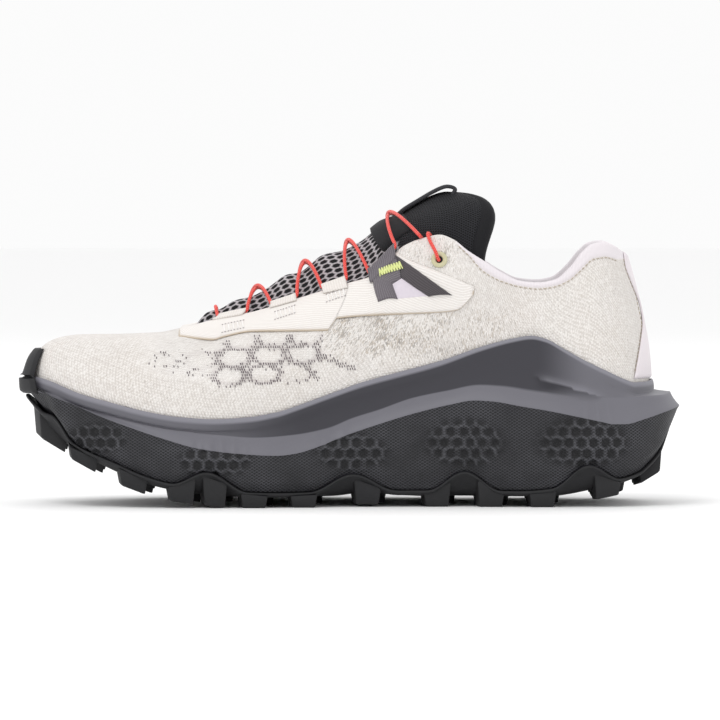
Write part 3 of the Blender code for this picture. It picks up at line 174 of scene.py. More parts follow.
# The tongue: one row for each crosswise line from the tip of the throat to the padded rim.
# throat: where the row's sides pass under the throat's edge. along, height: its middle point. sweep: how far
# the shoulders swing backwards. pad: how much of TONGUE_RIM there is in its thickness.
# throat, along and sweep are shares of SOLE_LENGTH, height of EAR_HEIGHT.
TongueRow = namedtuple("TongueRow", "throat along height sweep pad")
TONGUE_ROWS = tuple(TongueRow(*row) for row in (
    (0.2587, 0.2587, 0.630, 0.000, 0.00),
    (0.268, 0.268, 0.661, 0.000, 0.00),
    (0.285, 0.284, 0.704, 0.000, 0.00),
    (0.306, 0.305, 0.719, 0.000, 0.00),
    (0.326, 0.326, 0.749, 0.000, 0.00),
    (0.352, 0.352, 0.766, 0.000, 0.00),
    (0.378, 0.378, 0.801, 0.000, 0.00),
    (0.404, 0.402, 0.842, 0.000, 0.00),
    (0.430, 0.427, 0.860, 0.000, 0.00),
    (0.461, 0.457, 0.916, 0.000, 0.00),
    (0.494, 0.489, 0.935, 0.000, 0.10),
    (0.525, 0.518, 0.973, 0.002, 0.20),
    (0.556, 0.547, 1.030, 0.004, 0.30),
    (0.588, 0.574, 1.070, 0.010, 0.40),
    (0.618, 0.598, 1.108, 0.020, 0.55),
    (0.646, 0.620, 1.138, 0.036, 0.75),
    (0.672, 0.641, 1.155, 0.060, 1.00),
    (0.696, 0.660, 1.150, 0.088, 1.00),
))
FLANK_RISES = (0.84, 0.93, 1.0)
TAB_LINE = (  # along, and height above the floor as a share of EAR_HEIGHT
    (0.584, 1.101), (0.6067, 1.135), (0.6248, 1.161), (0.6415, 1.180), (0.652, 1.182), (0.660, 1.172),
)

EYESTAY_FRONT = 0.2436

# Lace loops: the stations of each loop's front and rear edge along the throat; the fourth tops the wing.
LaceLoop = namedtuple("LaceLoop", "front rear")
LACE_LOOPS = tuple(LaceLoop(*row) for row in (
    (0.304, 0.345), (0.3835, 0.422), (0.4607, 0.497), (0.532, 0.5725),
))
LOOP_FOOT = 0.0055

# Where the two laces cross on the tongue's middle line, as a share of SOLE_LENGTH.
CROSSINGS = (0.360, 0.4318, 0.4977, 0.560)
EAR_PASS = 0.607
EAR_RETURN = 0.619
EYELET_ALONG, EYELET_HEIGHT = 0.635, 0.907

# The wing: corners of its outer and inner edge as seen from the side, from the foot of the front leg, over
# the top, to the foot of the rear leg. along of SOLE_LENGTH, height of EAR_HEIGHT.
WingPair = namedtuple("WingPair", "outer_along outer_height inner_along inner_height")
WING_PAIRS = tuple(WingPair(*row) for row in (
    (0.5446, 0.747, 0.5734, 0.760),
    (0.5390, 0.800, 0.5690, 0.790),
    (0.5345, 0.842, 0.5664, 0.813),
    (0.5725, 0.918, 0.5794, 0.835),
    (0.6130, 0.848, 0.5990, 0.802),
    (0.6542, 0.776, 0.6194, 0.770),
))

# How the midsole's side stands in from the sole's outline at each level, in metres.
EDGE_INSET = 0.0045
BULGE_INSET = 0.0004
CREASE_INSET = 0.0022
RIDGE_INSET = 0.0046
HEEL_SIT = 0.0042
FOOT_INSET = 0.016
SCALLOP_PART = 0.55
EDGE_RISE = 0.985


def place(along):
    """X of a share of the sole's length."""
    return (np.asarray(along, float) - 0.5) * SOLE_LENGTH


def share(x):
    """Share of the sole's length at an X."""
    return np.asarray(x, float) / SOLE_LENGTH + 0.5


def ease(value):
    """Smooth step from 0 to 1."""
    t = np.clip(value, 0, 1)
    return t * t * (3 - 2 * t)


def smooth_line(table):
    """A smooth curve through rows of (along, height) that doesn't swing past them."""
    rows = np.array(table, float)
    x, y = rows[:, 0], rows[:, 1]
    slope = np.diff(y) / np.diff(x)
    tangent = np.zeros(len(x))
    before, after = slope[:-1], slope[1:]
    same = before * after > 0
    tangent[1:-1][same] = 2 * before[same] * after[same] / (before + after)[same]
    tangent[0], tangent[-1] = slope[0], slope[-1]

    def at(value):
        v = np.clip(np.asarray(value, float), x[0], x[-1])
        k = np.clip(np.searchsorted(x, v, side="right") - 1, 0, len(x) - 2)
        h = x[k + 1] - x[k]
        t = (v - x[k]) / h
        return (
            (1 + 2 * t) * (1 - t) ** 2 * y[k] + t * (1 - t) ** 2 * h * tangent[k]
            + t * t * (3 - 2 * t) * y[k + 1] + t * t * (t - 1) * h * tangent[k + 1]
        )

    return at


def closed_spline(values):
    """A closed cubic spline through evenly spaced values, read at turns."""
    v = np.array(values, float)
    count = len(v)
    step = 1 / count
    eye = np.eye(count)
    matrix = (4 * eye + np.roll(eye, 1, 0) + np.roll(eye, -1, 0)) / 6
    bend = np.linalg.solve(matrix, (np.roll(v, 1) - 2 * v + np.roll(v, -1)) / step**2)

    def at(turn):
        spot = np.mod(np.asarray(turn, float), 1) * count
        k = np.floor(spot).astype(int) % count
        t = spot - np.floor(spot)
        n = (k + 1) % count
        near, far = (1 - t) ** 3 - (1 - t), t**3 - t
        return (1 - t) * v[k] + t * v[n] + step**2 / 6 * (near * bend[k] + far * bend[n])

    return at


def around(medial, lateral=None):
    """The spline of one column of SECTIONS round the shoe. With two columns it is a signed breadth,
    negative on the medial side."""
    inner = [getattr(row, medial) for row in SECTIONS]
    outer = [getattr(row, lateral or medial) for row in SECTIONS[-2:0:-1]]
    if lateral:
        inner = [-value for value in inner]
    return closed_spline(inner + outer)


outline_along = around("along")
outline_across = around("medial", "lateral")
feather_inset = around("inset")
edge_along = around("top_along")
edge_across = around("top_breadth", "top_breadth")
base_out, base_up = around("base_out"), around("base_up")
top_out, top_up = around("top_out"), around("top_up")
top_height = smooth_line(TOP_LINE)
rim_height = smooth_line(RIM_LINE)
ridge_height = smooth_line(RIDGE_LINE)
crease_height = smooth_line(CREASE_LINE)
underside_height = smooth_line(UNDERSIDE_LINE)
pad_height = smooth_line(PAD_LINE)
footbed_height = smooth_line(FOOTBED_LINE)
scallop_share = smooth_line(SCALLOP_LINE)
eyestay_low = smooth_line(EYESTAY_LOW_LINE)
eyestay_high = smooth_line(EYESTAY_HIGH_LINE)
heel_seam = smooth_line(HEEL_SEAM_LINE)


def sole_middle():
    """Half way between the sole's two side edges, so that the shoe's box is centred on Y = 0."""
    across = outline_across(np.linspace(0, 1, 2001))
    return float(across.max() + across.min()) / 2 * BALL_WIDTH / 2


MIDDLE_Y = -sole_middle()


def outline(turn, inset=0.0):
    """X and Y of the sole's outline at turns, moved inwards by inset."""
    small = 1e-3
    x = place(outline_along(turn))
    y = outline_across(turn) * BALL_WIDTH / 2 + MIDDLE_Y
    dx = place(outline_along(turn + small)) - place(outline_along(turn - small))
    dy = (outline_across(turn + small) - outline_across(turn - small)) * BALL_WIDTH / 2
    length = np.hypot(dx, dy)
    return x + dy / length * inset, y - dx / length * inset


def outwards(turn):
    """Unit direction out of the outline, level."""
    x0, y0 = outline(turn)
    x1, y1 = outline(turn, -1.0)
    return np.stack([x1 - x0, y1 - y0, np.zeros_like(x0)], -1)


def ring(turn, inset, height):
    """Points of a ring inset from the outline; height is a number, an array or a function of along."""
    x, y = outline(turn, inset)
    z = height(share(x)) if callable(height) else height + 0 * x
    return np.stack([x, y, z], -1)


def towards_spine(turn, inset, part, height):
    """A ring that has moved a part of the way from its inset outline to the sole's middle line."""
    x, y = outline(turn, inset)
    x_mirror, y_mirror = outline(1 - turn, inset)
    middle = (y + y_mirror) / 2
    centre = place(np.clip(share((x + x_mirror) / 2), 0.10, 0.90))
    x = x + (centre - x) * part
    y = y + (middle - y) * part
    return np.stack([x, y, height(share(x))], -1)


def footbed(along):
    return footbed_height(along) * FOOTBED_HEIGHT


def underside(along):
    return underside_height(along) * TOE_SPRING


def arch_rise(along):
    """How far the arches lift the outsole's edge."""
    total = 0 * np.asarray(along, float)
    for arch in ARCHES:
        reach = np.clip(np.abs(along - arch.along) / arch.half_length, 0, 1)
        total = total + arch.rise * np.cos(reach * math.pi / 2) ** 2
    return total * TOE_SPRING


def outsole_edge(along):
    """Height of the outsole's waved upper edge on the side."""
    return pad_height(along) * TOE_SPRING + arch_rise(along)


def rim(along):
    return rim_height(along) * SIDEWALL_PEAK


def upper_point(turn, rise, lift=0.0):
    """The upper's outer face: rise runs from 0 at its lower edge to 1 at the collar or throat."""
    turn, rise = np.broadcast_arrays(np.asarray(turn, float), np.asarray(rise, float))
    if np.any(lift):
        small = 1e-3
        low, high = np.clip(rise - small, 0, 1), np.clip(rise + small, 0, 1)
        along = upper_point(turn + small, rise) - upper_point(turn - small, rise)
        up = upper_point(turn, high) - upper_point(turn, low)
        normal = np.cross(up, along)
        normal /= np.linalg.norm(normal, axis=-1, keepdims=True)
        return upper_point(turn, rise) + normal * np.asarray(lift)[..., None]
    out = outwards(turn)
    up = np.array([0.0, 0.0, 1.0])
    x, y = outline(turn, feather_inset(turn) * FLARE)
    base = np.stack([x, y, footbed(share(x)) + CLEARANCE], -1)
    along = edge_along(turn)
    top = np.stack(
        [
            place(along),
            edge_across(turn) * COLLAR_WIDTH / 2 + MIDDLE_Y,
            top_height(along) * EAR_HEIGHT,
        ],
        -1,
    )
    half = BALL_WIDTH / 2
    first = base + out * (base_out(turn) * half)[..., None] + up * (base_up(turn) * EAR_HEIGHT)[..., None]
    last = top + out * (top_out(turn) * half)[..., None] + up * (top_up(turn) * EAR_HEIGHT)[..., None]
    t = rise[..., None]
    return (1 - t) ** 3 * base + 3 * t * (1 - t) ** 2 * first + 3 * t * t * (1 - t) * last + t**3 * top


def rise_where(turn, test):
    """The rise at each turn where test(points) crosses zero on the way up."""
    low, high = np.zeros_like(turn), np.ones_like(turn)
    for _ in range(24):
        middle = (low + high) / 2
        above = test(upper_point(turn, middle)) > 0
        high = np.where(above, middle, high)
        low = np.where(above, low, middle)
    return (low + high) / 2


def lip_rise(turn):
    """The rise at which the midsole's rim meets the upper."""
    return rise_where(turn, lambda p: p[..., 2] - rim(share(p[..., 0])))


def turn_at_edge(along):
    """The medial turn at which the collar or throat edge stands at a station."""
    turn = np.linspace(0, 0.5, 1001)
    return np.interp(along, edge_along(turn)[::-1], turn[::-1])


def locate(along, height):
    """Medial turn and rise at which the upper's outer face is seen at a station and height."""
    along, height = np.asarray(along, float), np.asarray(height, float)
    low, high = 0.02 + 0 * along, 0.49 + 0 * along
    for _ in range(24):
        turn = (low + high) / 2
        rise = rise_where(turn, lambda p: p[..., 2] - height)
        ahead = share(upper_point(turn, rise)[..., 0]) < along
        high = np.where(ahead, turn, high)
        low = np.where(ahead, low, turn)
    return turn, np.minimum(rise, EDGE_RISE)


def on_side(turn, side):
    """A medial turn, or its mirror image on the lateral side."""
    return turn if side == "medial" else 1 - turn


def unit(vectors):
    return vectors / np.linalg.norm(vectors, axis=-1, keepdims=True)


def edge_frame(turn):
    """A point of the collar or throat edge, and the directions on past that edge and outwards."""
    top = upper_point(turn, 1.0)
    onwards = unit(top - upper_point(turn, 0.99))
    return top, onwards, unit(upper_point(turn, 1.0, 0.001) - top)


def wall(turn, rise):
    """Thickness of the upper: thin over the foot, padded towards the collar."""
    padded = ease((edge_along(turn) - 0.60) / 0.08) * ease((rise - 0.45) / 0.35)
    rounded = 1 - 0.45 * ease((rise - 0.93) / 0.07)
    return UPPER_WALL + (COLLAR_WALL - UPPER_WALL) * padded * rounded


# Lugs: one row for each rank across the sole. along is a share of SOLE_LENGTH, length too; across are
# the centres from the medial edge (-1) to the lateral edge (1); width is a share of BALL_WIDTH.
LugRank = namedtuple("LugRank", "along length width across")
LUG_RANKS = tuple(LugRank(*row) for row in (
    (0.040, 0.036, 0.120, (-0.52, 0.34)),
    (0.095, 0.040, 0.120, (-0.86, -0.30, 0.28, 0.84)),
    (0.170, 0.040, 0.120, (-0.87, -0.32, 0.30, 0.86)),
    (0.243, 0.038, 0.120, (-0.88, -0.34, 0.30, 0.88)),
    (0.292, 0.034, 0.110, (-0.88, 0.00, 0.88)),
    (0.351, 0.038, 0.120, (-0.90, -0.40, 0.40, 0.90)),
    (0.425, 0.038, 0.120, (-0.90, -0.02, 0.90)),
    (0.520, 0.038, 0.120, (-0.84, -0.36, 0.36, 0.86)),
    (0.625, 0.038, 0.120, (-0.84, -0.02, 0.86)),
    (0.705, 0.038, 0.120, (-0.86, -0.38, 0.36, 0.86)),
    (0.783, 0.038, 0.120, (-0.86, -0.02, 0.86)),
    (0.880, 0.038, 0.120, (-0.82, -0.30, 0.28, 0.82)),
    (0.940, 0.028, 0.110, (-0.42, 0.40)),
))
LUG_TAPER = 0.80
LUG_SWEEP = 0.018


def half_breadths(along):
    """Y of the medial and lateral edges of the flat sole at a station."""
    turn = np.linspace(0, 1, 721)
    x, y = outline(turn, EDGE_INSET)
    medial, lateral = turn < 0.5, turn > 0.5
    order_m, order_l = np.argsort(x[medial]), np.argsort(x[lateral])
    at = float(place(along))
    return (
        float(np.interp(at, x[medial][order_m], y[medial][order_m])),
        float(np.interp(at, x[lateral][order_l], y[lateral][order_l])),
    )


def sheet_underside(x, y):
    """Height of the outsole's lower face at a point, hollowed flanks included."""
    turn = np.linspace(0, 1, 721)
    edge_x, edge_y = outline(turn)
    distance = np.hypot(edge_x - x, edge_y - y)
    nearest = int(np.argmin(distance))
    part = np.clip((FOOT_INSET - distance[nearest]) / (FOOT_INSET - EDGE_INSET), 0, 1)
    edge = float(outsole_edge(outline_along(turn[nearest]))) - OUTSOLE_SHEET
    flat = float(underside(share(x)))
    return flat + (edge - flat) * float(scallop_share(part))


# Side-view lines of the looks. along is a share of SOLE_LENGTH; height is a share of EAR_HEIGHT.
COLLAR_SEAM_LINE = (
    (0.6620, 0.965), (0.6790, 0.925), (0.7005, 0.868), (0.7253, 0.834), (0.7561, 0.811), (0.7837, 0.803),
    (0.8086, 0.811), (0.8303, 0.834), (0.8487, 0.873), (0.8669, 0.911), (0.8858, 0.917), (0.9012, 0.906),
)

# Soft troughs (depth below zero) and ridges of the upper, each a line of the side view.
# from and to: along, a share of SOLE_LENGTH, and height, a share of EAR_HEIGHT. width and depth in metres.
Fold = namedtuple("Fold", "along_0 height_0 along_1 height_1 width depth")
FOLDS = tuple(Fold(*row) for row in (
    (0.205, 0.640, 0.265, 0.500, 0.0050, -0.0007),
    (0.232, 0.650, 0.300, 0.480, 0.0045, 0.0006),
    (0.285, 0.590, 0.350, 0.455, 0.0050, -0.0006),
    (0.110, 0.600, 0.150, 0.470, 0.0060, -0.0005),
    (0.375, 0.600, 0.470, 0.520, 0.0055, -0.0006),
    (0.500, 0.690, 0.600, 0.560, 0.0065, -0.0008),
    (0.560, 0.680, 0.660, 0.600, 0.0060, 0.0006),
    (0.690, 0.790, 0.735, 0.660, 0.0070, -0.0009),
    (0.720, 0.770, 0.800, 0.640, 0.0080, 0.0007),
    (0.815, 0.780, 0.860, 0.640, 0.0080, -0.0006),
))
# Clusters of dimples in the midsole's side: along and reach of SOLE_LENGTH, height and reach in metres.
HEXAGON_FIELDS = (
    (0.300, 0.060, 0.0215, 0.0080), (0.505, 0.058, 0.0250, 0.0090), (0.672, 0.062, 0.0290, 0.0120),
    (0.850, 0.075, 0.0290, 0.0120), (0.120, 0.050, 0.0310, 0.0070),
)
# Ovals of dark dashes knitted into the side of the forefoot, as seen from the side. along and half_length are
# shares of SOLE_LENGTH, height and half_height of EAR_HEIGHT; crowd is how closely the dashes lie.
DashOval = namedtuple("DashOval", "along height half_length half_height crowd")
DASH_OVALS = tuple(DashOval(*row) for row in (
    (0.338, 0.615, 0.0245, 0.0325, 0.8), (0.387, 0.624, 0.0250, 0.0330, 0.9),
    (0.434, 0.626, 0.0235, 0.0320, 0.8), (0.278, 0.539, 0.0215, 0.0300, 0.5),
    (0.327, 0.552, 0.0255, 0.0340, 1.0), (0.379, 0.563, 0.0255, 0.0340, 1.0),
    (0.429, 0.568, 0.0255, 0.0340, 1.0), (0.321, 0.487, 0.0240, 0.0320, 0.9),
    (0.372, 0.493, 0.0245, 0.0320, 1.0), (0.419, 0.497, 0.0235, 0.0320, 0.5),
))
# Straggling rows of the same dashes: from and to, as along and height, and how closely they lie.
DASH_TRAILS = (
    (0.4565, 0.560, 0.5040, 0.515, 0.9), (0.4313, 0.529, 0.4530, 0.478, 0.9),
    (0.2550, 0.596, 0.2983, 0.554, 0.7), (0.2407, 0.506, 0.2933, 0.488, 0.45),
)
DASH_PITCH = (0.00105, 0.00125)
WEDGE_LINE = (0.0856, 0.0577, 0.1119, 0.0500)  # x and z of the heel crease's ends, in metres
# The side view that the forms were read from, in its own pixels: length of the sole, where its toe and the
# floor stand, and the size of a pixel in metres.
VIEW_SPAN, VIEW_LEFT, VIEW_FLOOR, VIEW_PIXEL = 661, 19, 505.5, 0.00045386
SEAM_FRONT, SEAM_REAR = 0.662, 0.9012  # stations between which the collar's seam runs
ACROSS = np.array([0.0, 1.0, 0.0])
WAVE_SCALE = 0.31416  # of a wave texture with one wave a metre
ROOT_3 = 3**0.5
SIDES = ("medial", "lateral")
LACE_LOOK = 0.0016
TONGUE_STEPS = 170
ROLL_ANGLES = np.radians((18, 36, 54, 72, 88))
TACK_DROPS = (0.026, 0.052)  # upper and lower rows of stitches below the throat, of EAR_HEIGHT


def linear(text):
    """Linear colour of an sRGB hex value."""
    parts = [int(text[i:i + 2], 16) / 255 for i in (1, 3, 5)]
    return (*(c / 12.92 if c <= 0.04045 else ((c + 0.055) / 1.055) ** 2.4 for c in parts), 1.0)


def node(tree, kind, inputs=None, **settings):
    """Adds a node to a tree with its settings; inputs holds a value or an output to link for each socket."""
    made = tree.nodes.new(kind)
    for key, value in settings.items():
        setattr(made, key, value)
    for key, value in (inputs or {}).items():
        if isinstance(value, bpy.types.NodeSocket):
            tree.links.new(value, made.inputs[key])
        else:
            made.inputs[key].default_value = value
    return made


def math_node(tree, operation, a, b=0.0, c=0.0):
    return node(tree, "ShaderNodeMath", {0: a, 1: b, 2: c}, operation=operation).outputs[0]


def times(tree, a, b):
    return math_node(tree, "MULTIPLY", a, b)


def vector_math(tree, operation, *inputs, output=0, **named):
    made = node(tree, "ShaderNodeVectorMath", {**dict(enumerate(inputs)), **named}, operation=operation)
    return made.outputs[output]


def blend_colours(tree, factor, first, second):
    """Mix of two colours, each an output or an sRGB hex value."""
    first, second = (linear(colour) if isinstance(colour, str) else colour for colour in (first, second))
    return node(tree, "ShaderNodeMix", {0: factor, 6: first, 7: second}, data_type="RGBA").outputs[2]


def blend_values(tree, factor, first, second):
    return node(tree, "ShaderNodeMix", {0: factor, 2: first, 3: second}).outputs[0]


def ranged(tree, value, low=0.0, high=1.0, start=0.0, end=1.0):
    """The value between low and high, as a share between start and end."""
    return node(tree, "ShaderNodeMapRange", {0: value, 1: low, 2: high, 3: start, 4: end}).outputs[0]


def metres_map(tree):
    return node(tree, "ShaderNodeUVMap", uv_map="UVMap").outputs[0]


def object_spot(tree):
    return node(tree, "ShaderNodeTexCoord").outputs["Object"]


def mask(tree, name):
    return node(tree, "ShaderNodeAttribute", attribute_name=name).outputs["Fac"]


def grainy(tree, vector, scale, detail):
    inputs = {"Vector": vector, "Scale": scale, "Detail": detail}
    return node(tree, "ShaderNodeTexNoise", inputs).outputs["Fac"]


def ribbed(tree, vector, pitch, way="X", **more):
    """Parallel waves a pitch apart, in metres."""
    inputs = {"Vector": vector, "Scale": WAVE_SCALE / pitch, **more}
    return node(tree, "ShaderNodeTexWave", inputs, bands_direction=way).outputs["Fac"]


def turned_map(tree, vector, angle=0, scale=(1, 1, 1)):
    inputs = {"Vector": vector, "Rotation": (0, 0, math.radians(angle)), "Scale": scale}
    return node(tree, "ShaderNodeMapping", inputs).outputs[0]


def strands(tree, vector, across, strand):
    """Mask of the strands between hexagonal cells: 1 on a strand, 0 in a cell. across: width of a cell."""
    spot = vector_math(tree, "SCALE", vector, Scale=1 / across)
    middle = (0.5, ROOT_3 / 2, 0)
    cells = []
    for shift in (200.0, 200.5):  # far enough to keep MODULO among positive numbers
        moved = vector_math(tree, "ADD", spot, (shift, shift * ROOT_3, 0.0))
        wrapped = vector_math(tree, "MODULO", moved, (1, ROOT_3, 1))
        cells.append(vector_math(tree, "SUBTRACT", wrapped, middle))
    lengths = [vector_math(tree, "LENGTH", cell, output=1) for cell in cells]
    nearer = math_node(tree, "GREATER_THAN", lengths[0], lengths[1])
    cell = node(tree, "ShaderNodeMix", {0: nearer, 4: cells[0], 5: cells[1]}, data_type="VECTOR").outputs[1]
    cell = vector_math(tree, "ABSOLUTE", cell)
    slant = vector_math(tree, "DOT_PRODUCT", cell, middle, output=1)
    level = node(tree, "ShaderNodeSeparateXYZ", {0: cell}).outputs[0]
    half = 0.5 * strand / across
    return ranged(tree, math_node(tree, "MAXIMUM", slant, level), 0.5 - 1.5 * half, 0.5 - 0.5 * half)


def start_material(name, roughness, **constants):
    """A new material with its tree and shader; constants are set on the shader's own sockets."""
    material = bpy.data.materials.new(name)
    material.use_nodes = True
    shader = material.node_tree.nodes["Principled BSDF"]
    shader.inputs["Roughness"].default_value = roughness
    for key, value in constants.items():
        shader.inputs[key.replace("_", " ")].default_value = value
    return material, material.node_tree, shader


def finish_material(tree, shader, colour=None, height=None, depth=0.0001, roughness=None):
    """Links colour, relief and roughness. depth is the relief's real height in metres."""
    if colour is not None:
        tree.links.new(colour, shader.inputs["Base Color"])
    if roughness is not None:
        tree.links.new(roughness, shader.inputs["Roughness"])
    if height is not None:
        bump = node(tree, "ShaderNodeBump", {"Height": height, "Distance": depth, "Strength": 1.0})
        tree.links.new(bump.outputs[0], shader.inputs["Normal"])


def hexagon_reach(u, v, across):
    """Distance from the nearest cell's centre towards its sides, 0 to 0.5, for hexagons of a width."""
    best = None
    for shift in (0.0, 0.5):
        x = np.mod(u / across + shift, 1.0) - 0.5
        y = np.mod(v / across + shift * ROOT_3, ROOT_3) - ROOT_3 / 2
        length = np.hypot(x, y)
        reach = np.maximum(np.abs(x), np.abs(x) / 2 + np.abs(y) * ROOT_3 / 2)
        best = (length, reach) if best is None else (
            np.minimum(length, best[0]), np.where(length < best[0], reach, best[1])
        )
    return best[1]


def add_object(name, data):
    made = bpy.data.objects.new(name, data)
    bpy.context.scene.collection.objects.link(made)
    return made


def lay_out(name, points, faces, maps, masks=None, slots=None):
    """A mesh object with a UV map in metres, smooth faces, and one float attribute for each mask."""
    mesh = bpy.data.meshes.new(name)
    mesh.from_pydata(points.tolist(), [], faces.tolist())
    corners = np.empty(len(mesh.loops), np.int32)
    mesh.loops.foreach_get("vertex_index", corners)
    layer = mesh.uv_layers.new(name="UVMap")
    layer.data.foreach_set("uv", maps.astype(np.float32).ravel())
    for key, values in (masks or {}).items():
        attribute = mesh.attributes.new(key, "FLOAT", "POINT")
        attribute.data.foreach_set("value", np.asarray(values, np.float32).ravel())
    if slots is not None:
        mesh.polygons.foreach_set("material_index", slots.astype(np.int32))
    mesh.validate()
    mesh.shade_smooth()
    return add_object(name, mesh)


def ring_sheet(name, rings, u, v, masks=None, slots=None, joined=False, caps=False):
    """A sheet through rings of points that each run round the shoe. u and v: map of (rings, points + 1).
    joined: the last ring meets the first. caps: first and last ring are closed across the shoe."""
    rings = np.asarray(rings)
    rows, count = rings.shape[:2]
    r = np.arange(rows if joined else rows - 1)[:, None]
    i = np.arange(count)[None, :]
    up, on = (r + 1) % rows, (i + 1) % count
    quads = np.stack([r * count + i, up * count + i, up * count + on, r * count + on], -1).reshape(-1, 4)
    here = np.stack([u, v], -1)
    corner = np.stack([here[:-1, :-1], here[1:, :-1], here[1:, 1:], here[:-1, 1:]], 2)
    if joined:
        last = np.stack([here[-1:, :-1], here[:1, :-1], here[:1, 1:], here[-1:, 1:]], 2)
        corner = np.concatenate([corner, last])
    maps = corner.reshape(-1, 2)
    if caps:
        extra = []
        for start, flip in ((0, False), ((rows - 1) * count, True)):
            for k in range(1, count // 2 - 1):
                quad = [start + k, start + k + 1, start + count - k - 1, start + count - k]
                extra.append(quad[::-1] if flip else quad)
        quads = np.concatenate([quads, np.array(extra)])
        flat = rings.reshape(-1, 3)[np.array(extra).ravel(), :2]
        maps = np.concatenate([maps, flat])
    if slots is not None:
        slots = np.repeat(slots if joined else slots[:-1], count)
        slots = np.concatenate([slots, np.full(len(quads) - len(slots), slots[-1])])
    return lay_out(name, rings.reshape(-1, 3), quads, maps, masks, slots)


def patch_sheet(name, outer, inner, masks=None):
    """A closed thin body between two grids of points. Its map is metres along the columns and rows."""
    rows, columns = outer.shape[:2]
    size = rows * columns
    across = np.linalg.norm(np.diff(outer, axis=1), axis=-1)
    down = np.linalg.norm(np.diff(outer, axis=0), axis=-1)
    u = np.concatenate([np.zeros((rows, 1)), np.cumsum(across, 1)], 1)
    v = np.concatenate([np.zeros((1, columns)), np.cumsum(down, 0)], 0)
    u = u - u[:, -1:] / 2
    uv = np.concatenate([np.stack([u, v], -1).reshape(-1, 2)] * 2)
    i, j = np.arange(rows - 1)[:, None], np.arange(columns - 1)[None, :]
    a, b = i * columns + j, (i + 1) * columns + j
    face = np.stack([a, b, b + 1, a + 1], -1).reshape(-1, 4)
    border = np.array(
        [j for j in range(columns)]
        + [i * columns + columns - 1 for i in range(1, rows)]
        + [(rows - 1) * columns + j for j in range(columns - 2, -1, -1)]
        + [i * columns for i in range(rows - 2, 0, -1)]
    )
    after = np.roll(border, -1)
    rims = np.stack([border, after, size + after, size + border], -1)
    faces = np.concatenate([face, size + face[:, ::-1], rims])
    if masks:
        masks = {key: np.concatenate([value.ravel()] * 2) for key, value in masks.items()}
    points = np.concatenate([outer.reshape(-1, 3), inner.reshape(-1, 3)])
    made = lay_out(name, points, faces, uv[faces.ravel()], masks)
    return tidy_normals(made)


def tidy_normals(obj):
    """Closes the small holes left at a piece's tips and turns its faces outwards."""
    work = bmesh.new()
    work.from_mesh(obj.data)
    bmesh.ops.holes_fill(work, edges=[edge for edge in work.edges if edge.is_boundary], sides=14)
    bmesh.ops.recalc_face_normals(work, faces=work.faces)
    if work.calc_volume(signed=True) < 0:
        bmesh.ops.reverse_faces(work, faces=work.faces)
    work.to_mesh(obj.data)
    work.free()
    return obj


def dress(obj, slot, *materials, replaces=()):
    """Gives a piece its materials, ties it to the body and hides the solids that it stands for; slot is not
    used.
    """
    for material in materials:
        obj.data.materials.append(material)
    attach(obj, "root")
    if replaces:
        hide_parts(*replaces)
    return obj


def segment_distance(x, z, x0, z0, x1, z1):
    """Distance from points to a segment of the side view, and the share of the way along it."""
    dx, dz = x1 - x0, z1 - z0
    t = np.clip(((x - x0) * dx + (z - z0) * dz) / (dx * dx + dz * dz), 0, 1)
    return np.hypot(x - x0 - t * dx, z - z0 - t * dz), t


def folds(points):
    """Relief of the folds in the knit at points of the upper's outer face."""
    total = np.zeros(points.shape[:-1])
    for fold in FOLDS:
        distance, t = segment_distance(
            points[..., 0], points[..., 2], place(fold.along_0), fold.height_0 * EAR_HEIGHT,
            place(fold.along_1), fold.height_1 * EAR_HEIGHT,
        )
        total += fold.depth * np.exp(-((distance / fold.width) ** 2)) * (0.35 + 0.65 * np.sin(math.pi * t))
    return total


def waviness(points, size, seed):
    """Smooth seeded noise, -1 to 1, with bumps of a size in metres."""
    flat = points.reshape(-1, 3) / size + seed
    return np.array([noise.noise(Vector(p)) for p in flat]).reshape(points.shape[:-1])


def coarse_waviness(points, bump, seed, every):
    """Waviness of a grid, worked out at every few points and read between them."""
    rows, columns = points.shape[:2]
    r, c = (np.unique(np.arange(0, size + every, every).clip(0, size - 1)) for size in (rows, columns))
    known = waviness(points[np.ix_(r, c)], bump, seed)
    by_column = np.stack([np.interp(np.arange(columns), c, row) for row in known])
    return np.stack([np.interp(np.arange(rows), r, column) for column in by_column.T], 1)


# Finishes

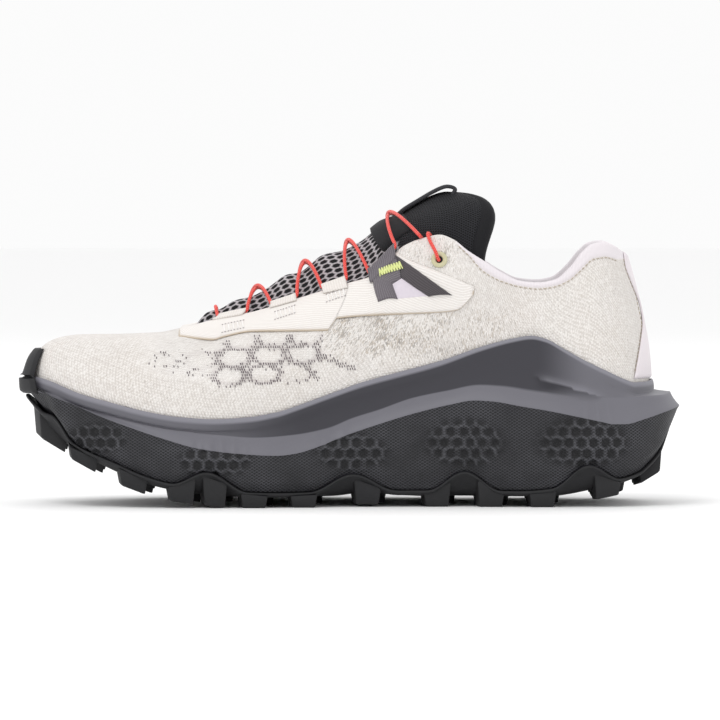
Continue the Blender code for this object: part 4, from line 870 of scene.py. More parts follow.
def make_knit():
    """Circular-knit polyester: warm off-white yarn in slanted ribs of stitches, tan and grey yarn showing
    through in the quarter, a plum cast where the dashes crowd, and a smooth binding."""
    material, tree, shader = start_material(
        "circular_knit_polyester", 0.88, Sheen_Weight=0.25, Sheen_Roughness=0.5, Specular_IOR_Level=0.3
    )
    uv = metres_map(tree)
    spot = object_spot(tree)
    masks = {key: mask(tree, key) for key in ("band", "mottle", "dashes", "ribs", "toe")}
    shaken = node(tree, "ShaderNodeTexNoise", {"Vector": uv, "Scale": 260.0, "Detail": 1.0}).outputs["Color"]
    loose = vector_math(tree, "ADD", uv, vector_math(tree, "SCALE", shaken, Scale=0.0005))
    rows = math_node(tree, "MULTIPLY_ADD", ribbed(tree, loose, 0.0013, "Y"), 0.75, 0.25)
    ribs, stitches = (
        times(tree, rows, ribbed(tree, turned_map(tree, loose, angle), pitch))
        for angle, pitch in ((40, 0.00125), (12, 0.0009))
    )
    relief = blend_values(tree, masks["ribs"], stitches, ribs)
    cloudy = grainy(tree, spot, 45.0, 4.0)
    yarn = blend_colours(tree, cloudy, "#EFECE9", "#E7E1DB")
    gaps = math_node(tree, "MULTIPLY_ADD", masks["ribs"], 0.22, 0.20)
    yarn = blend_colours(tree, times(tree, math_node(tree, "SUBTRACT", 1.0, relief), gaps), yarn, "#A1978F")
    slim = turned_map(tree, loose, 24, (2000, 850, 1))
    cells = {"Vector": slim, "Scale": 1.0}
    single = node(tree, "ShaderNodeTexVoronoi", cells, voronoi_dimensions="2D").outputs
    chance = node(tree, "ShaderNodeSeparateColor", {0: single["Color"]}).outputs
    patches = grainy(tree, spot, 110.0, 3.0)
    patch = ranged(tree, patches, 0.34, 0.62)
    few = times(tree, masks["mottle"], math_node(tree, "MULTIPLY_ADD", patch, 0.65, 0.35))
    few = math_node(tree, "MAXIMUM", few, 0.04)
    fleck = math_node(tree, "LESS_THAN", chance[0], times(tree, few, 0.75))
    tone = blend_colours(tree, chance[1], "#7A7674", "#B9AB99")
    depth = math_node(tree, "MULTIPLY_ADD", few, 0.45, 0.25)
    yarn = blend_colours(tree, times(tree, fleck, depth), yarn, tone)
    bright = times(tree, math_node(tree, "GREATER_THAN", chance[2], 0.72), 0.4)
    yarn = blend_colours(tree, bright, yarn, "#F6F3F0")
    streak = ranged(tree, grainy(tree, turned_map(tree, uv, 0, (60, 900, 1)), 1.0, 2.0), 0.52, 0.66)
    yarn = blend_colours(tree, times(tree, times(tree, streak, masks["toe"]), 0.22), yarn, "#B9B0AC")
    yarn = blend_colours(tree, times(tree, masks["dashes"], 0.30), yarn, "#A89C9E")
    fine = ribbed(tree, uv, 0.0009, Distortion=0.2)
    binding = blend_colours(tree, fine, "#DFD8DC", "#E9E3E6")
    colour = blend_colours(tree, masks["band"], yarn, binding)
    height = blend_values(tree, masks["band"], relief, times(tree, fine, 0.25))
    finish_material(tree, shader, colour, height, 0.00022)
    return material


def make_binding():
    """Brushed polyester binding of heel and collar: pale pinkish white, soft and nearly plain."""
    material, tree, shader = start_material(
        "brushed_polyester_binding", 0.80, Sheen_Weight=0.3, Sheen_Roughness=0.4
    )
    uv = metres_map(tree)
    fine = ribbed(tree, uv, 0.0009, Distortion=0.2)
    cloudy = grainy(tree, uv, 90.0, 3.0)
    colour = blend_colours(tree, cloudy, "#DDD5D9", "#E7E0E3")
    finish_material(tree, shader, colour, fine, 0.00006)
    return material


def make_foam():
    """Moulded foam, smooth facets: mid grey with a slight skin gloss. Painted light and shade run through its
    colour: painted shadow where the shade attribute is 0, lit foam with a painted highlight where it is 1.
    """
    material, tree, shader = start_material("moulded_foam_skin", 0.48, Specular_IOR_Level=0.4)
    spot = object_spot(tree)
    shade = mask(tree, "shade")
    grain = grainy(tree, spot, 1500.0, 2.0)
    cloudy = grainy(tree, spot, 30.0, 3.0)
    light = blend_colours(tree, cloudy, "#7D7C84", "#87868E")
    # Painted shade and light: the dark colour stands in for shadow on facets that face down, the lighter tone
    # for lit foam and the lip's painted highlight.
    colour = blend_colours(tree, shade, "#2B2A31", light)
    rough = ranged(tree, cloudy, start=0.40, end=0.56)
    finish_material(tree, shader, colour, grain, 0.00004, rough)
    return material


def make_textured_foam():
    """The same foam from a fine diamond-cut mould: charcoal, with painted highlights on the mesh's raised
    lines and the dimples' ridges, and painted shade in the dimples.
    """
    material, tree, shader = start_material("textured_moulded_foam", 0.55, Specular_IOR_Level=0.4)
    uv = metres_map(tree)
    dimple = mask(tree, "dimple")
    spot = object_spot(tree)
    lines = []
    for angle in (32, -32):
        wave = ribbed(tree, turned_map(tree, uv, angle), 0.00115, "Y")
        lines.append(ranged(tree, wave, 0.70, 0.98))
    mesh = math_node(tree, "MAXIMUM", lines[0], lines[1])
    # Painted highlight on the mesh's raised lines, stronger in some places than in others at random.
    uneven_highlight = grainy(tree, spot, 60.0, 4.0)
    strength = ranged(tree, uneven_highlight, 0.35, 0.70, 0.30, 0.80)
    colour = blend_colours(tree, times(tree, mesh, strength), "#141417", "#55555B")
    # Painted shade: the dimples' hollows darker, as if in shadow.
    colour = blend_colours(tree, times(tree, dimple, 0.8), colour, "#131315")
    # Painted highlight on the ridges round the dimples.
    comb_highlight = mask(tree, "comb_highlight")
    colour = blend_colours(tree, times(tree, comb_highlight, 0.30), colour, "#77777D")
    finish_material(tree, shader, colour, mesh, 0.00022)
    return material


def make_rubber():
    """Carbon-black outsole rubber, moulded: fine grain, and a roughness that varies in patches."""
    material, tree, shader = start_material("carbon_black_rubber", 0.62, Specular_IOR_Level=0.45)
    spot = object_spot(tree)
    grain = grainy(tree, spot, 900.0, 3.0)
    cloudy = grainy(tree, spot, 70.0, 4.0)
    colour = blend_colours(tree, cloudy, "#121214", "#202023")
    rough = ranged(tree, cloudy, start=0.52, end=0.78)
    finish_material(tree, shader, colour, grain, 0.00008, rough)
    return material


def make_film():
    """Ribbed thermoplastic film welded beside the throat: cream, fine level ribs, tan where it is cut."""
    material, tree, shader = start_material("ribbed_welded_film", 0.55, Specular_IOR_Level=0.4)
    uv = metres_map(tree)
    border = mask(tree, "border")
    bent = {"Distortion": 2.4, "Detail": 1.0, "Detail Scale": 0.6}
    ribs = ribbed(tree, turned_map(tree, uv, 12), 0.00125, **bent)
    colour = blend_colours(tree, ribs, "#DFD9D4", "#ECE8E4")
    colour = blend_colours(tree, border, colour, "#BDAB92")
    finish_material(tree, shader, colour, ribs, 0.00012)
    return material


def make_webbing(name, dark, light, pitch=0.0011):
    """Flat woven polyester webbing: fine ribs along the strap with a slight shine."""
    material, tree, shader = start_material(name, 0.62, Sheen_Weight=0.2, Specular_IOR_Level=0.4)
    uv = metres_map(tree)
    ribs = ribbed(tree, uv, pitch, Distortion=0.2)
    weft = ribbed(tree, uv, 0.7 * pitch, "Y", Distortion=0.2)
    weave = math_node(tree, "MULTIPLY_ADD", times(tree, ribs, weft), 0.6, times(tree, ribs, 0.4))
    colour = blend_colours(tree, weave, dark, light)
    finish_material(tree, shader, colour, weave, 0.00015)
    return material


def make_lace_braid():
    """Round braided polyester lace: coral red with paler yarn where the strands cross."""
    material, tree, shader = start_material(
        "round_braided_lace", 0.55, Sheen_Weight=0.2, Specular_IOR_Level=0.4
    )
    uv = metres_map(tree)
    braid = times(tree, *(ribbed(tree, turned_map(tree, uv, angle), 0.0008) for angle in (35, -35)))
    bright = ranged(tree, braid, 0.45, 0.8)
    colour = blend_colours(tree, bright, "#E2382E", "#F79085")
    finish_material(tree, shader, colour, braid, 0.00015)
    return material


def make_tongue_cloth():
    """Spacer mesh of the tongue: black hexagon mesh above, a moulded pale grey lattice over black below, and
    a black brushed binding round the rim."""
    material, tree, shader = start_material("spacer_mesh", 0.80, Sheen_Weight=0.05, Specular_IOR_Level=0.25)
    uv = metres_map(tree)
    lattice = mask(tree, "lattice")
    rim_mask = mask(tree, "rim")
    bars = strands(tree, turned_map(tree, uv, 0, (1.12, 0.62, 1)), 0.0030, 0.0008)
    fine = strands(tree, uv, 0.0013, 0.0005)
    grain = grainy(tree, uv, 1400.0, 2.0)
    mesh_colour = blend_colours(tree, fine, "#040405", "#232328")
    bar_colour = blend_colours(tree, grain, "#A09B9F", "#CBC6C9")
    lattice_colour = blend_colours(tree, bars, "#121214", bar_colour)
    colour = blend_colours(tree, lattice, mesh_colour, lattice_colour)
    colour = blend_colours(tree, rim_mask, colour, blend_colours(tree, grain, "#0C0C0E", "#19191D"))
    pattern = blend_values(tree, lattice, fine, bars)
    height = blend_values(tree, rim_mask, pattern, times(tree, grain, 0.3))
    finish_material(tree, shader, colour, height, 0.0004)
    return material


def make_plain(name, dark, light, roughness, scale, depth, **constants):
    """A material of two close tones with a fine grain."""
    material, tree, shader = start_material(name, roughness, **constants)
    spot = object_spot(tree)
    grain = grainy(tree, spot, scale, 3.0)
    finish_material(tree, shader, blend_colours(tree, grain, dark, light), grain, depth)
    return material


# Pieces

def arc_map(turn_closed):
    """Metres along the sole's outline at each turn, with the last one past the first."""
    x, y = outline(turn_closed)
    return np.concatenate([[0], np.cumsum(np.hypot(np.diff(x), np.diff(y)))])


def ring_maps(rings):
    """Map of a stack of rings: metres along the outline, and metres up the surface."""
    rings = np.asarray(rings)
    rows, count = rings.shape[:2]
    u = np.broadcast_to(arc_map(np.arange(count + 1) / count), (rows, count + 1))
    closed = np.concatenate([rings, rings[:, :1]], 1)
    steps = np.linalg.norm(np.diff(closed, axis=0), axis=-1)
    v = np.concatenate([np.zeros((1, count + 1)), np.cumsum(steps, 0)])
    return u, v


def seam_height(along):
    return smooth_line(COLLAR_SEAM_LINE)(along) * EAR_HEIGHT


def near_oval(oval, along, height, width):
    """How closely the dashes lie at a spot of the side view: most on the oval's own line."""
    away = np.hypot((along - oval.along) / oval.half_length, (height - oval.height) / oval.half_height)
    return oval.crowd * np.exp(-(((away - 1) / width) ** 2))


def upper_masks(points):
    """Where the knit changes: binding, mottled quarter, dashes of the forefoot, ribs and toe streaks."""
    along, z = share(points[..., 0]), points[..., 2]
    start = ease((along - 0.655) / 0.012)
    band = ease((z - seam_height(np.clip(along, SEAM_FRONT, SEAM_REAR)) + 0.0002) / 0.0005) * start
    px, py = along * VIEW_SPAN + VIEW_LEFT, VIEW_FLOOR - z / VIEW_PIXEL
    mottle = (
        ease((px - 300) / 50) * ease((560 - px) / 90) * ease((py - 300) / 18) * ease((372 - py) / 26)
        * (0.55 + 0.45 * ease((470 - px) / 100))
    )
    mottle = np.maximum(mottle, 0.75 * np.exp(-((px - 437) / 24) ** 2 - ((py - 256) / 17) ** 2))
    dashes = 0 * px
    for oval in DASH_OVALS:
        dashes = np.maximum(dashes, near_oval(oval, along, z / EAR_HEIGHT, 0.20))
    dashes = dashes * ease((eyestay_low(along) * EAR_HEIGHT - z) / 0.002)
    lip = rim_height(along) * SIDEWALL_PEAK
    middle = ease((px - 130) / 40) * ease((500 - px) / 90) * ease((z - lip - 0.016) / 0.004)
    ribs = 1 - middle
    toe = ease((300 - px) / 120)
    return {"band": band, "mottle": mottle * (1 - band), "dashes": dashes, "ribs": ribs, "toe": toe}


def make_upper_cloth(knit, lining):
    count = 640
    turn = np.arange(count) / count
    lip = lip_rise(turn)
    ladder = [upper_point(turn, r) for r in np.linspace(0, 1, 21)]
    length = np.linalg.norm(np.diff(ladder, axis=0), axis=-1).sum(0)
    half = wall(turn, 1.0) / 2
    last = 1 - half / length
    parts = np.concatenate([[0.0, 0.5], 1 + np.linspace(0, 1, 92)])
    rises = [lip * p if p <= 1 else lip + (last - lip) * (p - 1) for p in parts]
    rise = np.stack(rises)
    base = upper_point(turn[None, :] + 0 * rise, rise)
    along, z = share(base[..., 0]), base[..., 2]
    inside = ease((rise - lip) / 0.08) * ease((1 - rise) / 0.1)
    relief = folds(base) * inside
    relief += 0.00035 * coarse_waviness(base, 0.016, 3.0, 8) * inside
    seam = np.abs(z - seam_height(np.clip(along, SEAM_FRONT, SEAM_REAR)))
    seam_part = ease((along - 0.655) / 0.012) * ease((0.905 - along) / 0.004)
    relief -= 0.0005 * np.exp(-((seam / 0.0010) ** 2)) * seam_part
    outer = upper_point(turn[None, :] + 0 * rise, rise, relief + 1e-9)
    rings = list(outer)
    top, inner_top = upper_point(turn, last), upper_point(turn, last, -2 * half)
    onwards = unit(upper_point(turn, last) - upper_point(turn, last - 0.01))
    centre = (top + inner_top) / 2
    for angle in np.radians(np.arange(15, 180, 15)):
        rings.append(centre + (top - centre) * math.cos(angle) + onwards * half[:, None] * math.sin(angle))
    for p in parts[::-1][::6]:
        r = lip * p if p <= 1 else lip + (last - lip) * (p - 1)
        rings.append(upper_point(turn, r, -wall(turn, r)))
    rings.append(upper_point(turn, 0.0, -wall(turn, 0 * lip)))
    rings[-1][:, 2] = rings[0][:, 2]
    rings = np.asarray(rings)
    u, v = ring_maps(rings)
    v = v - v[len(parts) - 1]
    masks = upper_masks(rings)
    row = np.arange(len(rings))[:, None] + 0 * masks["band"]
    masks["band"] = np.maximum(masks["band"], 1.0 * (row > len(parts) + 6))
    for key in ("dashes", "mottle", "toe", "ribs"):
        masks[key] = np.where(row > len(parts) + 4, 0, masks[key])
    slots = np.where(np.arange(len(rings)) > len(parts) + 9, 1, 0)
    made = ring_sheet("knit_upper", rings, u, v, masks, slots, joined=True)
    tidy_normals(made)
    return dress(made, "upper_knit", knit, lining, replaces=("upper",))


def make_midsole_foam(smooth, textured):
    count = 720
    turn = np.arange(count) / count
    along = outline_along(turn)
    sheet_top = lambda a: underside(a) + OUTSOLE_SHEET + CLEARANCE
    edge = outsole_edge(along) + CLEARANCE
    crease, ridge = crease_height(along) * SIDEWALL_PEAK, ridge_height(along) * SIDEWALL_PEAK
    end = np.minimum(ease((along - 0.02) / 0.10), ease((0.99 - along) / 0.10))
    recess = (BUMPER_THICKNESS + 2 * CLEARANCE) * ease((0.080 - np.abs(turn - 0.5)) / 0.022)
    lip = lip_rise(turn)
    low_lip = np.maximum(lip - 0.055, 0.35 * lip)
    flank_x, flank_y = outline(turn, FOOT_INSET + (EDGE_INSET - FOOT_INSET) * SCALLOP_PART)
    flat = underside(share(flank_x)) + OUTSOLE_SHEET
    flank = flat + (outsole_edge(along) - flat) * scallop_share(SCALLOP_PART) + CLEARANCE
    rings = [
        towards_spine(turn, FOOT_INSET, SPINE_SHARE, sheet_top),
        ring(turn, FOOT_INSET, sheet_top),
        np.stack([flank_x, flank_y, flank], -1),
    ]
    stand = smooth_line(((0.0, 1.0), (0.26, 0.35), (0.68, 0.12), (1.0, 0.0)))
    side_rows = 40
    u_line = arc_map(np.arange(count + 1) / count)[:-1]
    dimples, combs = [], []
    for part in np.linspace(0, 1, side_rows):
        bulge = BULGE_INSET + (EDGE_INSET - BULGE_INSET) * float(stand(part))
        inset = bulge + (CREASE_INSET * end - BULGE_INSET) * ease((part - 0.62) / 0.38) + recess
        height = edge + (crease - edge) * part
        reach = hexagon_reach(u_line, height, 0.0056)
        field = 0 * u_line
        for spot, span, level, tall in HEXAGON_FIELDS:
            away = np.hypot((along - spot) / span, (height - level) / tall)
            field = np.maximum(field, ease((1.15 - away) / 0.45))
        hollow = field * ease((0.41 - reach) / 0.10)
        dimples.append(hollow)
        # Where the textured foam gets a painted highlight: on the ridges round each dimple.
        combs.append(ease((field - 0.55) / 0.3) * np.exp(-(((reach - 0.455) / 0.030) ** 2)))
        rings.append(ring(turn, inset + 0.0010 * hollow, height))
    x, y = outline(turn, RIDGE_INSET * end + HEEL_SIT * ease((along - 0.80) / 0.18) + recess)
    lower = upper_point(turn, low_lip, CLEARANCE + LIP_WIDTH + 0 * turn)
    ridge_ring = np.stack([x, y, np.minimum(ridge, lower[..., 2] - 0.001)], -1)
    crease_ring = rings[-1]
    facet_rows = 7
    for part in np.linspace(0, 1, facet_rows)[1:]:
        hollow = 0.0005 * math.sin(math.pi * part)
        step = crease_ring + (ridge_ring - crease_ring) * part
        rings.append(step - outwards(turn) * hollow)
    lip_rows = 18
    for part in np.linspace(0, 1, lip_rows)[1:]:
        step = ridge_ring + (lower - ridge_ring) * part
        hollow = 0.0006 * math.sin(math.pi * part)
        rings.append(step - outwards(turn) * (hollow + wedge_step(step))[:, None])
    top = upper_point(turn, lip, CLEARANCE + 0.75 * LIP_WIDTH + 0 * turn)
    cup = upper_point(turn, lip, CLEARANCE + 0.1 * LIP_WIDTH + 0 * turn)
    for part in (0.25, 0.5, 0.75, 1.0):
        away = CLEARANCE + LIP_WIDTH * (1 - 0.30 * part**3) + 0 * turn
        rings.append(upper_point(turn, low_lip + (lip - low_lip) * part, away))
    for part in (0.33, 0.66, 1.0):
        rings.append(top + (cup - top) * part + np.array([0, 0, 0.0004 * math.sin(math.pi * part)]))
    for part in (0.6, 0.2, 0.0):
        rings.append(upper_point(turn, lip * part, CLEARANCE + 0 * turn))
    rings[-1][:, 2] = footbed(share(rings[-1][:, 0]))
    rings.append(towards_spine(turn, FLARE + 0.006, SPINE_SHARE, footbed))
    rings = np.asarray(rings)
    u, v = ring_maps(rings)
    v = np.concatenate([rings[..., 2], rings[:, :1, 2]], 1)
    rows = len(rings)
    first_side, last_side = 3, 3 + side_rows - 1
    dimple, comb_highlight = np.zeros((2, rows, count))
    dimple[first_side:first_side + side_rows] = dimples
    comb_highlight[first_side:first_side + side_rows] = combs
    # Painted light and shade for the smooth facets: the lower facet lit mid grey, the upper facet painted
    # dark as shadow and lighter towards toe and heel, a painted highlight along the top of the lip, and the
    # heel crease's painted highlight and shadow.
    shade = np.zeros((rows, count))
    a = share(rings[..., 0])
    shade[last_side:last_side + facet_rows] = 0.62
    lip_start = last_side + facet_rows - 1 + lip_rows - 1
    shade[last_side + facet_rows:lip_start + 1] = (
        0.06 + 0.48 * ease((a - 0.78) / 0.08) + 0.42 * ease((0.44 - a) / 0.20)
    )[last_side + facet_rows:lip_start + 1]
    shade[lip_start + 1:lip_start + 3] = shade[lip_start]
    # Painted highlight along the top of the lip.
    shade[lip_start + 3:lip_start + 7] = 0.95
    shade += wedge_shade(rings[..., 0], rings[..., 2]) * (np.arange(rows) > last_side + facet_rows)[:, None]
    shade = np.clip(shade, 0, 1)
    slots = np.where((np.arange(rows) >= first_side) & (np.arange(rows) < last_side), 1, 0)
    masks = {"dimple": dimple, "comb_highlight": comb_highlight, "shade": shade}
    made = ring_sheet("foam_midsole", rings, u, v, masks, slots, caps=True)
    tidy_normals(made)
    return dress(made, "midsole_foam", smooth, textured, replaces=("midsole",))


def wedge_line(x):
    """Where the heel's short crease begins and ends, and its height at x."""
    x0, z0, x1, z1 = WEDGE_LINE
    return x0, x1, z0 + (z1 - z0) * (x - x0) / (x1 - x0)


def wedge_shade(x, z):
    """Painted highlight on the foam above the short crease of the heel's upper facet, and painted shadow
    below it.
    """
    x0, x1, line = wedge_line(x)
    length = ease((x - x0 + 0.004) / 0.010) * ease((x1 + 0.006 - x) / 0.014)
    above = 0.38 * np.exp(-((z - line) / 0.0022) ** 2) * (z > line)
    return length * (above - 0.30 * np.exp(-np.clip(line - z, 0, None) / 0.0035) * (z <= line))


def wedge_step(points):
    """The step under the short crease in the heel's upper facet: a hollow that fades downwards."""
    x, z = points[:, 0], points[:, 2]
    x0, x1, line = wedge_line(x)
    under = np.clip(line - z, 0, None)
    length = ease((x - x0) / 0.006) * ease((x1 + 0.004 - x) / 0.010)
    fade = np.where(z <= line, np.exp(-under / 0.0035), np.exp(-((z - line) / 0.0009) ** 2))
    return -0.0022 * length * fade


def lug_mesh(work, rank, across):
    """One bevelled lug with a groove across its tip."""
    made = bmesh.ops.create_cube(work, size=1.0)
    verts = made["verts"]
    edges = list({e for v in verts for e in v.link_edges})
    bevelled = bmesh.ops.bevel(work, geom=edges, offset=0.09, segments=2, affect="EDGES", profile=0.6)
    verts = list({v for f in bevelled["faces"] for v in f.verts})
    medial, lateral = half_breadths(rank.along)
    middle, reach = (medial + lateral) / 2, (lateral - medial) / 2
    centre_y = middle + across * reach
    at_edge = abs(across) > 0.6
    for v in verts:
        level = v.co.z + 0.5
        scale = LUG_TAPER + (1 - LUG_TAPER) * level
        along = rank.along + v.co.x * rank.length * scale
        y = centre_y + v.co.y * rank.width * BALL_WIDTH * scale
        sign = across if at_edge else (across or 1)
        side = min(1.0, max(0.0, 0.5 + v.co.y * math.copysign(1, sign) * 1.0))
        along += (0.5 if at_edge else 1.0) * LUG_SWEEP * side * (0.8 + 0.4 * v.co.x)
        x = float(place(along))
        tip = max(float(underside(along)) - LUG_HEIGHT, 0.0)
        root = sheet_underside(x, y) + 0.35 * OUTSOLE_SHEET
        v.co = Vector((x, y, tip + (max(root, tip + 0.002) - tip) * level))


def make_outsole_rubber(rubber):
    count = 480
    turn = np.arange(count) / count
    along = outline_along(turn)
    edge = outsole_edge(along)
    skin = 0.6 * OUTSOLE_SHEET
    rings = [towards_spine(turn, FOOT_INSET, SPINE_SHARE, lambda a: underside(a) + OUTSOLE_SHEET),
             ring(turn, FOOT_INSET, lambda a: underside(a) + OUTSOLE_SHEET)]

    def flank(part, gap):
        x, y = outline(turn, FOOT_INSET + (EDGE_INSET - FOOT_INSET) * part)
        flat = underside(share(x)) + OUTSOLE_SHEET
        return np.stack([x, y, flat + (edge - flat) * scallop_share(part) + gap], -1)

    for part in (0.25, 0.5, 0.75, 1.0):
        rings.append(flank(part, 0.0))
    for out, drop in ((0.35, 0.0), (0.75, 0.08), (0.98, 0.30), (1.0, 0.62), (0.85, 0.95), (0.5, 1.15)):
        rings.append(ring(turn, EDGE_INSET - out * skin, edge - drop * skin))
    for part in (0.85, 0.65, 0.45, 0.2):
        rings.append(flank(part, -OUTSOLE_SHEET))
    rings.append(ring(turn, FOOT_INSET, underside))
    rings.append(towards_spine(turn, FOOT_INSET, SPINE_SHARE, underside))
    u, v = ring_maps(rings)
    made = ring_sheet("rubber_outsole", rings, u, v, caps=True)
    tidy_normals(made)
    work = bmesh.new()
    for rank in LUG_RANKS:
        for across in rank.across:
            lug_mesh(work, rank, across)
    bmesh.ops.recalc_face_normals(work, faces=work.faces)
    mesh = bpy.data.meshes.new("lugs")
    work.to_mesh(mesh)
    work.free()
    mesh.shade_smooth()
    mesh.set_sharp_from_angle(angle=math.radians(40))
    lugs = add_object("rubber_lugs", mesh)
    dress(lugs, "outsole_rubber", rubber)
    return dress(made, "outsole_rubber", rubber, replaces=("outsole",))


def make_insole_cloth(cloth):
    count = 320
    turn = np.arange(count) / count
    inset = feather_inset(turn) * FLARE + UPPER_WALL + 3 * CLEARANCE
    thick = INSOLE_THICKNESS
    rings = [towards_spine(turn, FLARE + 0.006, SPINE_SHARE, lambda a: footbed(a) + CLEARANCE)]
    for out, level in ((0.0, 0.0), (0.0, 0.5), (0.0004, 0.8), (0.0012, 0.97), (0.0030, 1.0)):
        rings.append(ring(turn, inset + out, lambda a, level=level: footbed(a) + CLEARANCE + level * thick))
    rings.append(towards_spine(turn, FLARE + 0.006, 0.30, lambda a: footbed(a) + CLEARANCE + thick))
    rings.append(towards_spine(turn, FLARE + 0.006, SPINE_SHARE, lambda a: footbed(a) + CLEARANCE + thick))
    u, v = ring_maps(rings)
    made = ring_sheet("insole_cloth", rings, u, v, caps=True)
    tidy_normals(made)
    return dress(made, "insole_fabric", cloth, replaces=("insole",))


def tapered(rows, columns, reach_rows, reach_columns):
    """1 inside a grid, falling to 0 over a share of its rows and columns at the border."""
    r = np.minimum(np.linspace(0, 1, rows), np.linspace(1, 0, rows)) / reach_rows
    c = np.minimum(np.linspace(0, 1, columns), np.linspace(1, 0, columns)) / reach_columns
    return np.sin(np.clip(np.minimum(r[:, None], c[None, :]), 0, 1) * math.pi / 2)


def overlay(name, turn, rise, low, thick, soft):
    """A thin sheet on the upper whose outer face comes down to the knit at its border."""
    inner = upper_point(turn, rise, low + 0 * turn)
    outer = upper_point(turn, rise, low + 0.00015 + (thick - 0.00015) * soft)
    low_half = np.arange(soft.shape[1]) < soft.shape[1] / 2
    return patch_sheet(name, outer, inner, {"border": (1 - ease((soft - 0.05) / 0.75)) * low_half})


def make_eyestay_film(film):
    rear, _ = locate(EYESTAY_HIGH_LINE[-1][0] - 0.006, EYESTAY_HIGH_LINE[-1][1] * EAR_HEIGHT)
    turn = np.linspace(float(rear), 1 - float(rear), 560)

    def over_low_line(points):
        along = share(points[..., 0])
        return np.minimum(points[..., 2] - eyestay_low(along) * EAR_HEIGHT, along - EYESTAY_FRONT)

    low = rise_where(turn, over_low_line)
    high = rise_where(turn, lambda p: p[..., 2] - eyestay_high(share(p[..., 0])) * EAR_HEIGHT)
    high = np.clip(high, low + 0.02, EDGE_RISE)
    part = np.linspace(0, 1, 26)[None, :]
    rise = low[:, None] + (high - low)[:, None] * part
    soft = tapered(560, 26, 0.004, 0.07)
    made = overlay("eyestay_film", turn[:, None] + 0 * rise, rise, 0.0003, OVERLAY + 0.0003, soft)
    return dress(made, "eyestay_film", film, replaces=("eyestay",))


def wing_grid(side, first, last, rows, columns):
    pairs = np.array(WING_PAIRS)
    step = np.linspace(first, last, rows)
    outer_along, outer_height, inner_along, inner_height = (
        np.interp(step, np.arange(len(pairs)), column) for column in pairs.T
    )
    outer = locate(outer_along, outer_height * EAR_HEIGHT)
    inner = locate(inner_along, inner_height * EAR_HEIGHT)
    part = np.linspace(0, 1, columns)[None, :]
    turn = outer[0][:, None] * (1 - part) + inner[0][:, None] * part
    rise = outer[1][:, None] * (1 - part) + inner[1][:, None] * part
    return on_side(turn, side), rise


def make_wing_webbing(side, light, dark):
    pieces = []
    for name, first, last, material, lift in (("front", 0, 3, light, 0.0), ("rear", 3, 5, dark, 0.0001)):
        turn, rise = wing_grid(side, first, last, 60, 14)
        soft = tapered(60, 14, 0.02, 0.06)
        made = overlay(f"wing_{name}_{side}", turn, rise, OVERLAY + 0.0006 + lift, 0.0009, soft)
        pieces.append(dress(made, "grey_webbing", material))
    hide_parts("wing_" + side)
    return pieces


def make_wing_window(side, cloth):
    """The pale triangle of film seen between the wing's legs."""
    low_front, low_rear = np.array([0.5705, 0.757]), np.array([0.6230, 0.770])
    high_front, high_rear = np.array([0.5620, 0.826]), np.array([0.5830, 0.847])
    part = np.linspace(0, 1, 24)
    low = low_front + (low_rear - low_front) * part[:, None]
    high = high_front + (high_rear - high_front) * part[:, None]
    grid = low[:, None] + (high - low)[:, None] * np.linspace(0, 1, 12)[None, :, None]
    turn, rise = locate(grid[..., 0].ravel(), grid[..., 1].ravel() * EAR_HEIGHT)
    turn, rise = on_side(turn.reshape(24, 12), side), rise.reshape(24, 12)
    made = overlay("wing_window_" + side, turn, rise, OVERLAY + 0.0003, 0.0004, tapered(24, 12, 0.04, 0.08))
    return dress(made, "heel_film", cloth)


def make_heel_binding(cloth):
    top = 0.985
    rise = np.linspace(float(lip_rise(np.array([0.0]))[0]) + 0.010, top, 60)
    low, high = 0 * rise, 0.2 + 0 * rise
    for _ in range(24):
        turn = (low + high) / 2
        points = upper_point(turn, rise)
        inside = share(points[..., 0]) > heel_seam(points[..., 2] / EAR_HEIGHT)
        low, high = np.where(inside, turn, low), np.where(inside, high, turn)
    part = np.linspace(-1, 1, 80)[:, None]
    grid_turn, grid_rise = part * turn[None, :], rise[None, :] + 0 * part
    made = overlay("heel_binding", grid_turn, grid_rise, 0.0003, OVERLAY, tapered(80, 60, 0.02, 0.02))
    return dress(made, "heel_film", cloth, replaces=("heel_panel",))


def make_toe_rubber(rubber):
    part = np.linspace(-1, 1, 41)[:, None]
    spread = np.array([0.052, 0.048, 0.044, 0.040, 0.036, 0.026])[None, :]
    turn = 0.5 + part * spread
    column = turn[:, 0]
    lip = lip_rise(turn[:, 3])
    top = rise_where(turn[:, 5], lambda p: p[..., 2] - BUMPER_HEIGHT)
    lower = upper_point(turn[:, 3], lip, 3 * CLEARANCE + LIP_WIDTH + 0 * lip)
    crease = crease_height(0.0) * SIDEWALL_PEAK
    edge = float(outsole_edge(0.0)) + 2 * CLEARANCE
    inner = np.stack([
        ring(column, BUMPER_THICKNESS + CLEARANCE, edge),
        ring(turn[:, 1], BUMPER_THICKNESS, crease),
        ring(turn[:, 2], BUMPER_THICKNESS, lower[:, 2].max() - 0.001),
        lower + np.array([0.0, 0.0, 0.0006]),
        upper_point(turn[:, 4], (lip + top) / 2, 0.5 * LIP_WIDTH + 2 * CLEARANCE + 0 * lip),
        upper_point(turn[:, 5], top, 2 * CLEARANCE + 0 * lip),
    ], 1)
    inner = curved(curved(inner, 1, 6), 1, 1)
    along, up = np.gradient(inner, axis=0), np.gradient(inner, axis=1)
    normal = unit(np.cross(up, along))
    soft = tapered(inner.shape[0], inner.shape[1], 0.05, 0.05)
    thick = 0.0003 + (BUMPER_THICKNESS - 0.0003) * soft
    made = patch_sheet("toe_rubber", inner + normal * thick[..., None], inner)
    return dress(made, "outsole_rubber", rubber, replaces=("toe_bumper",))


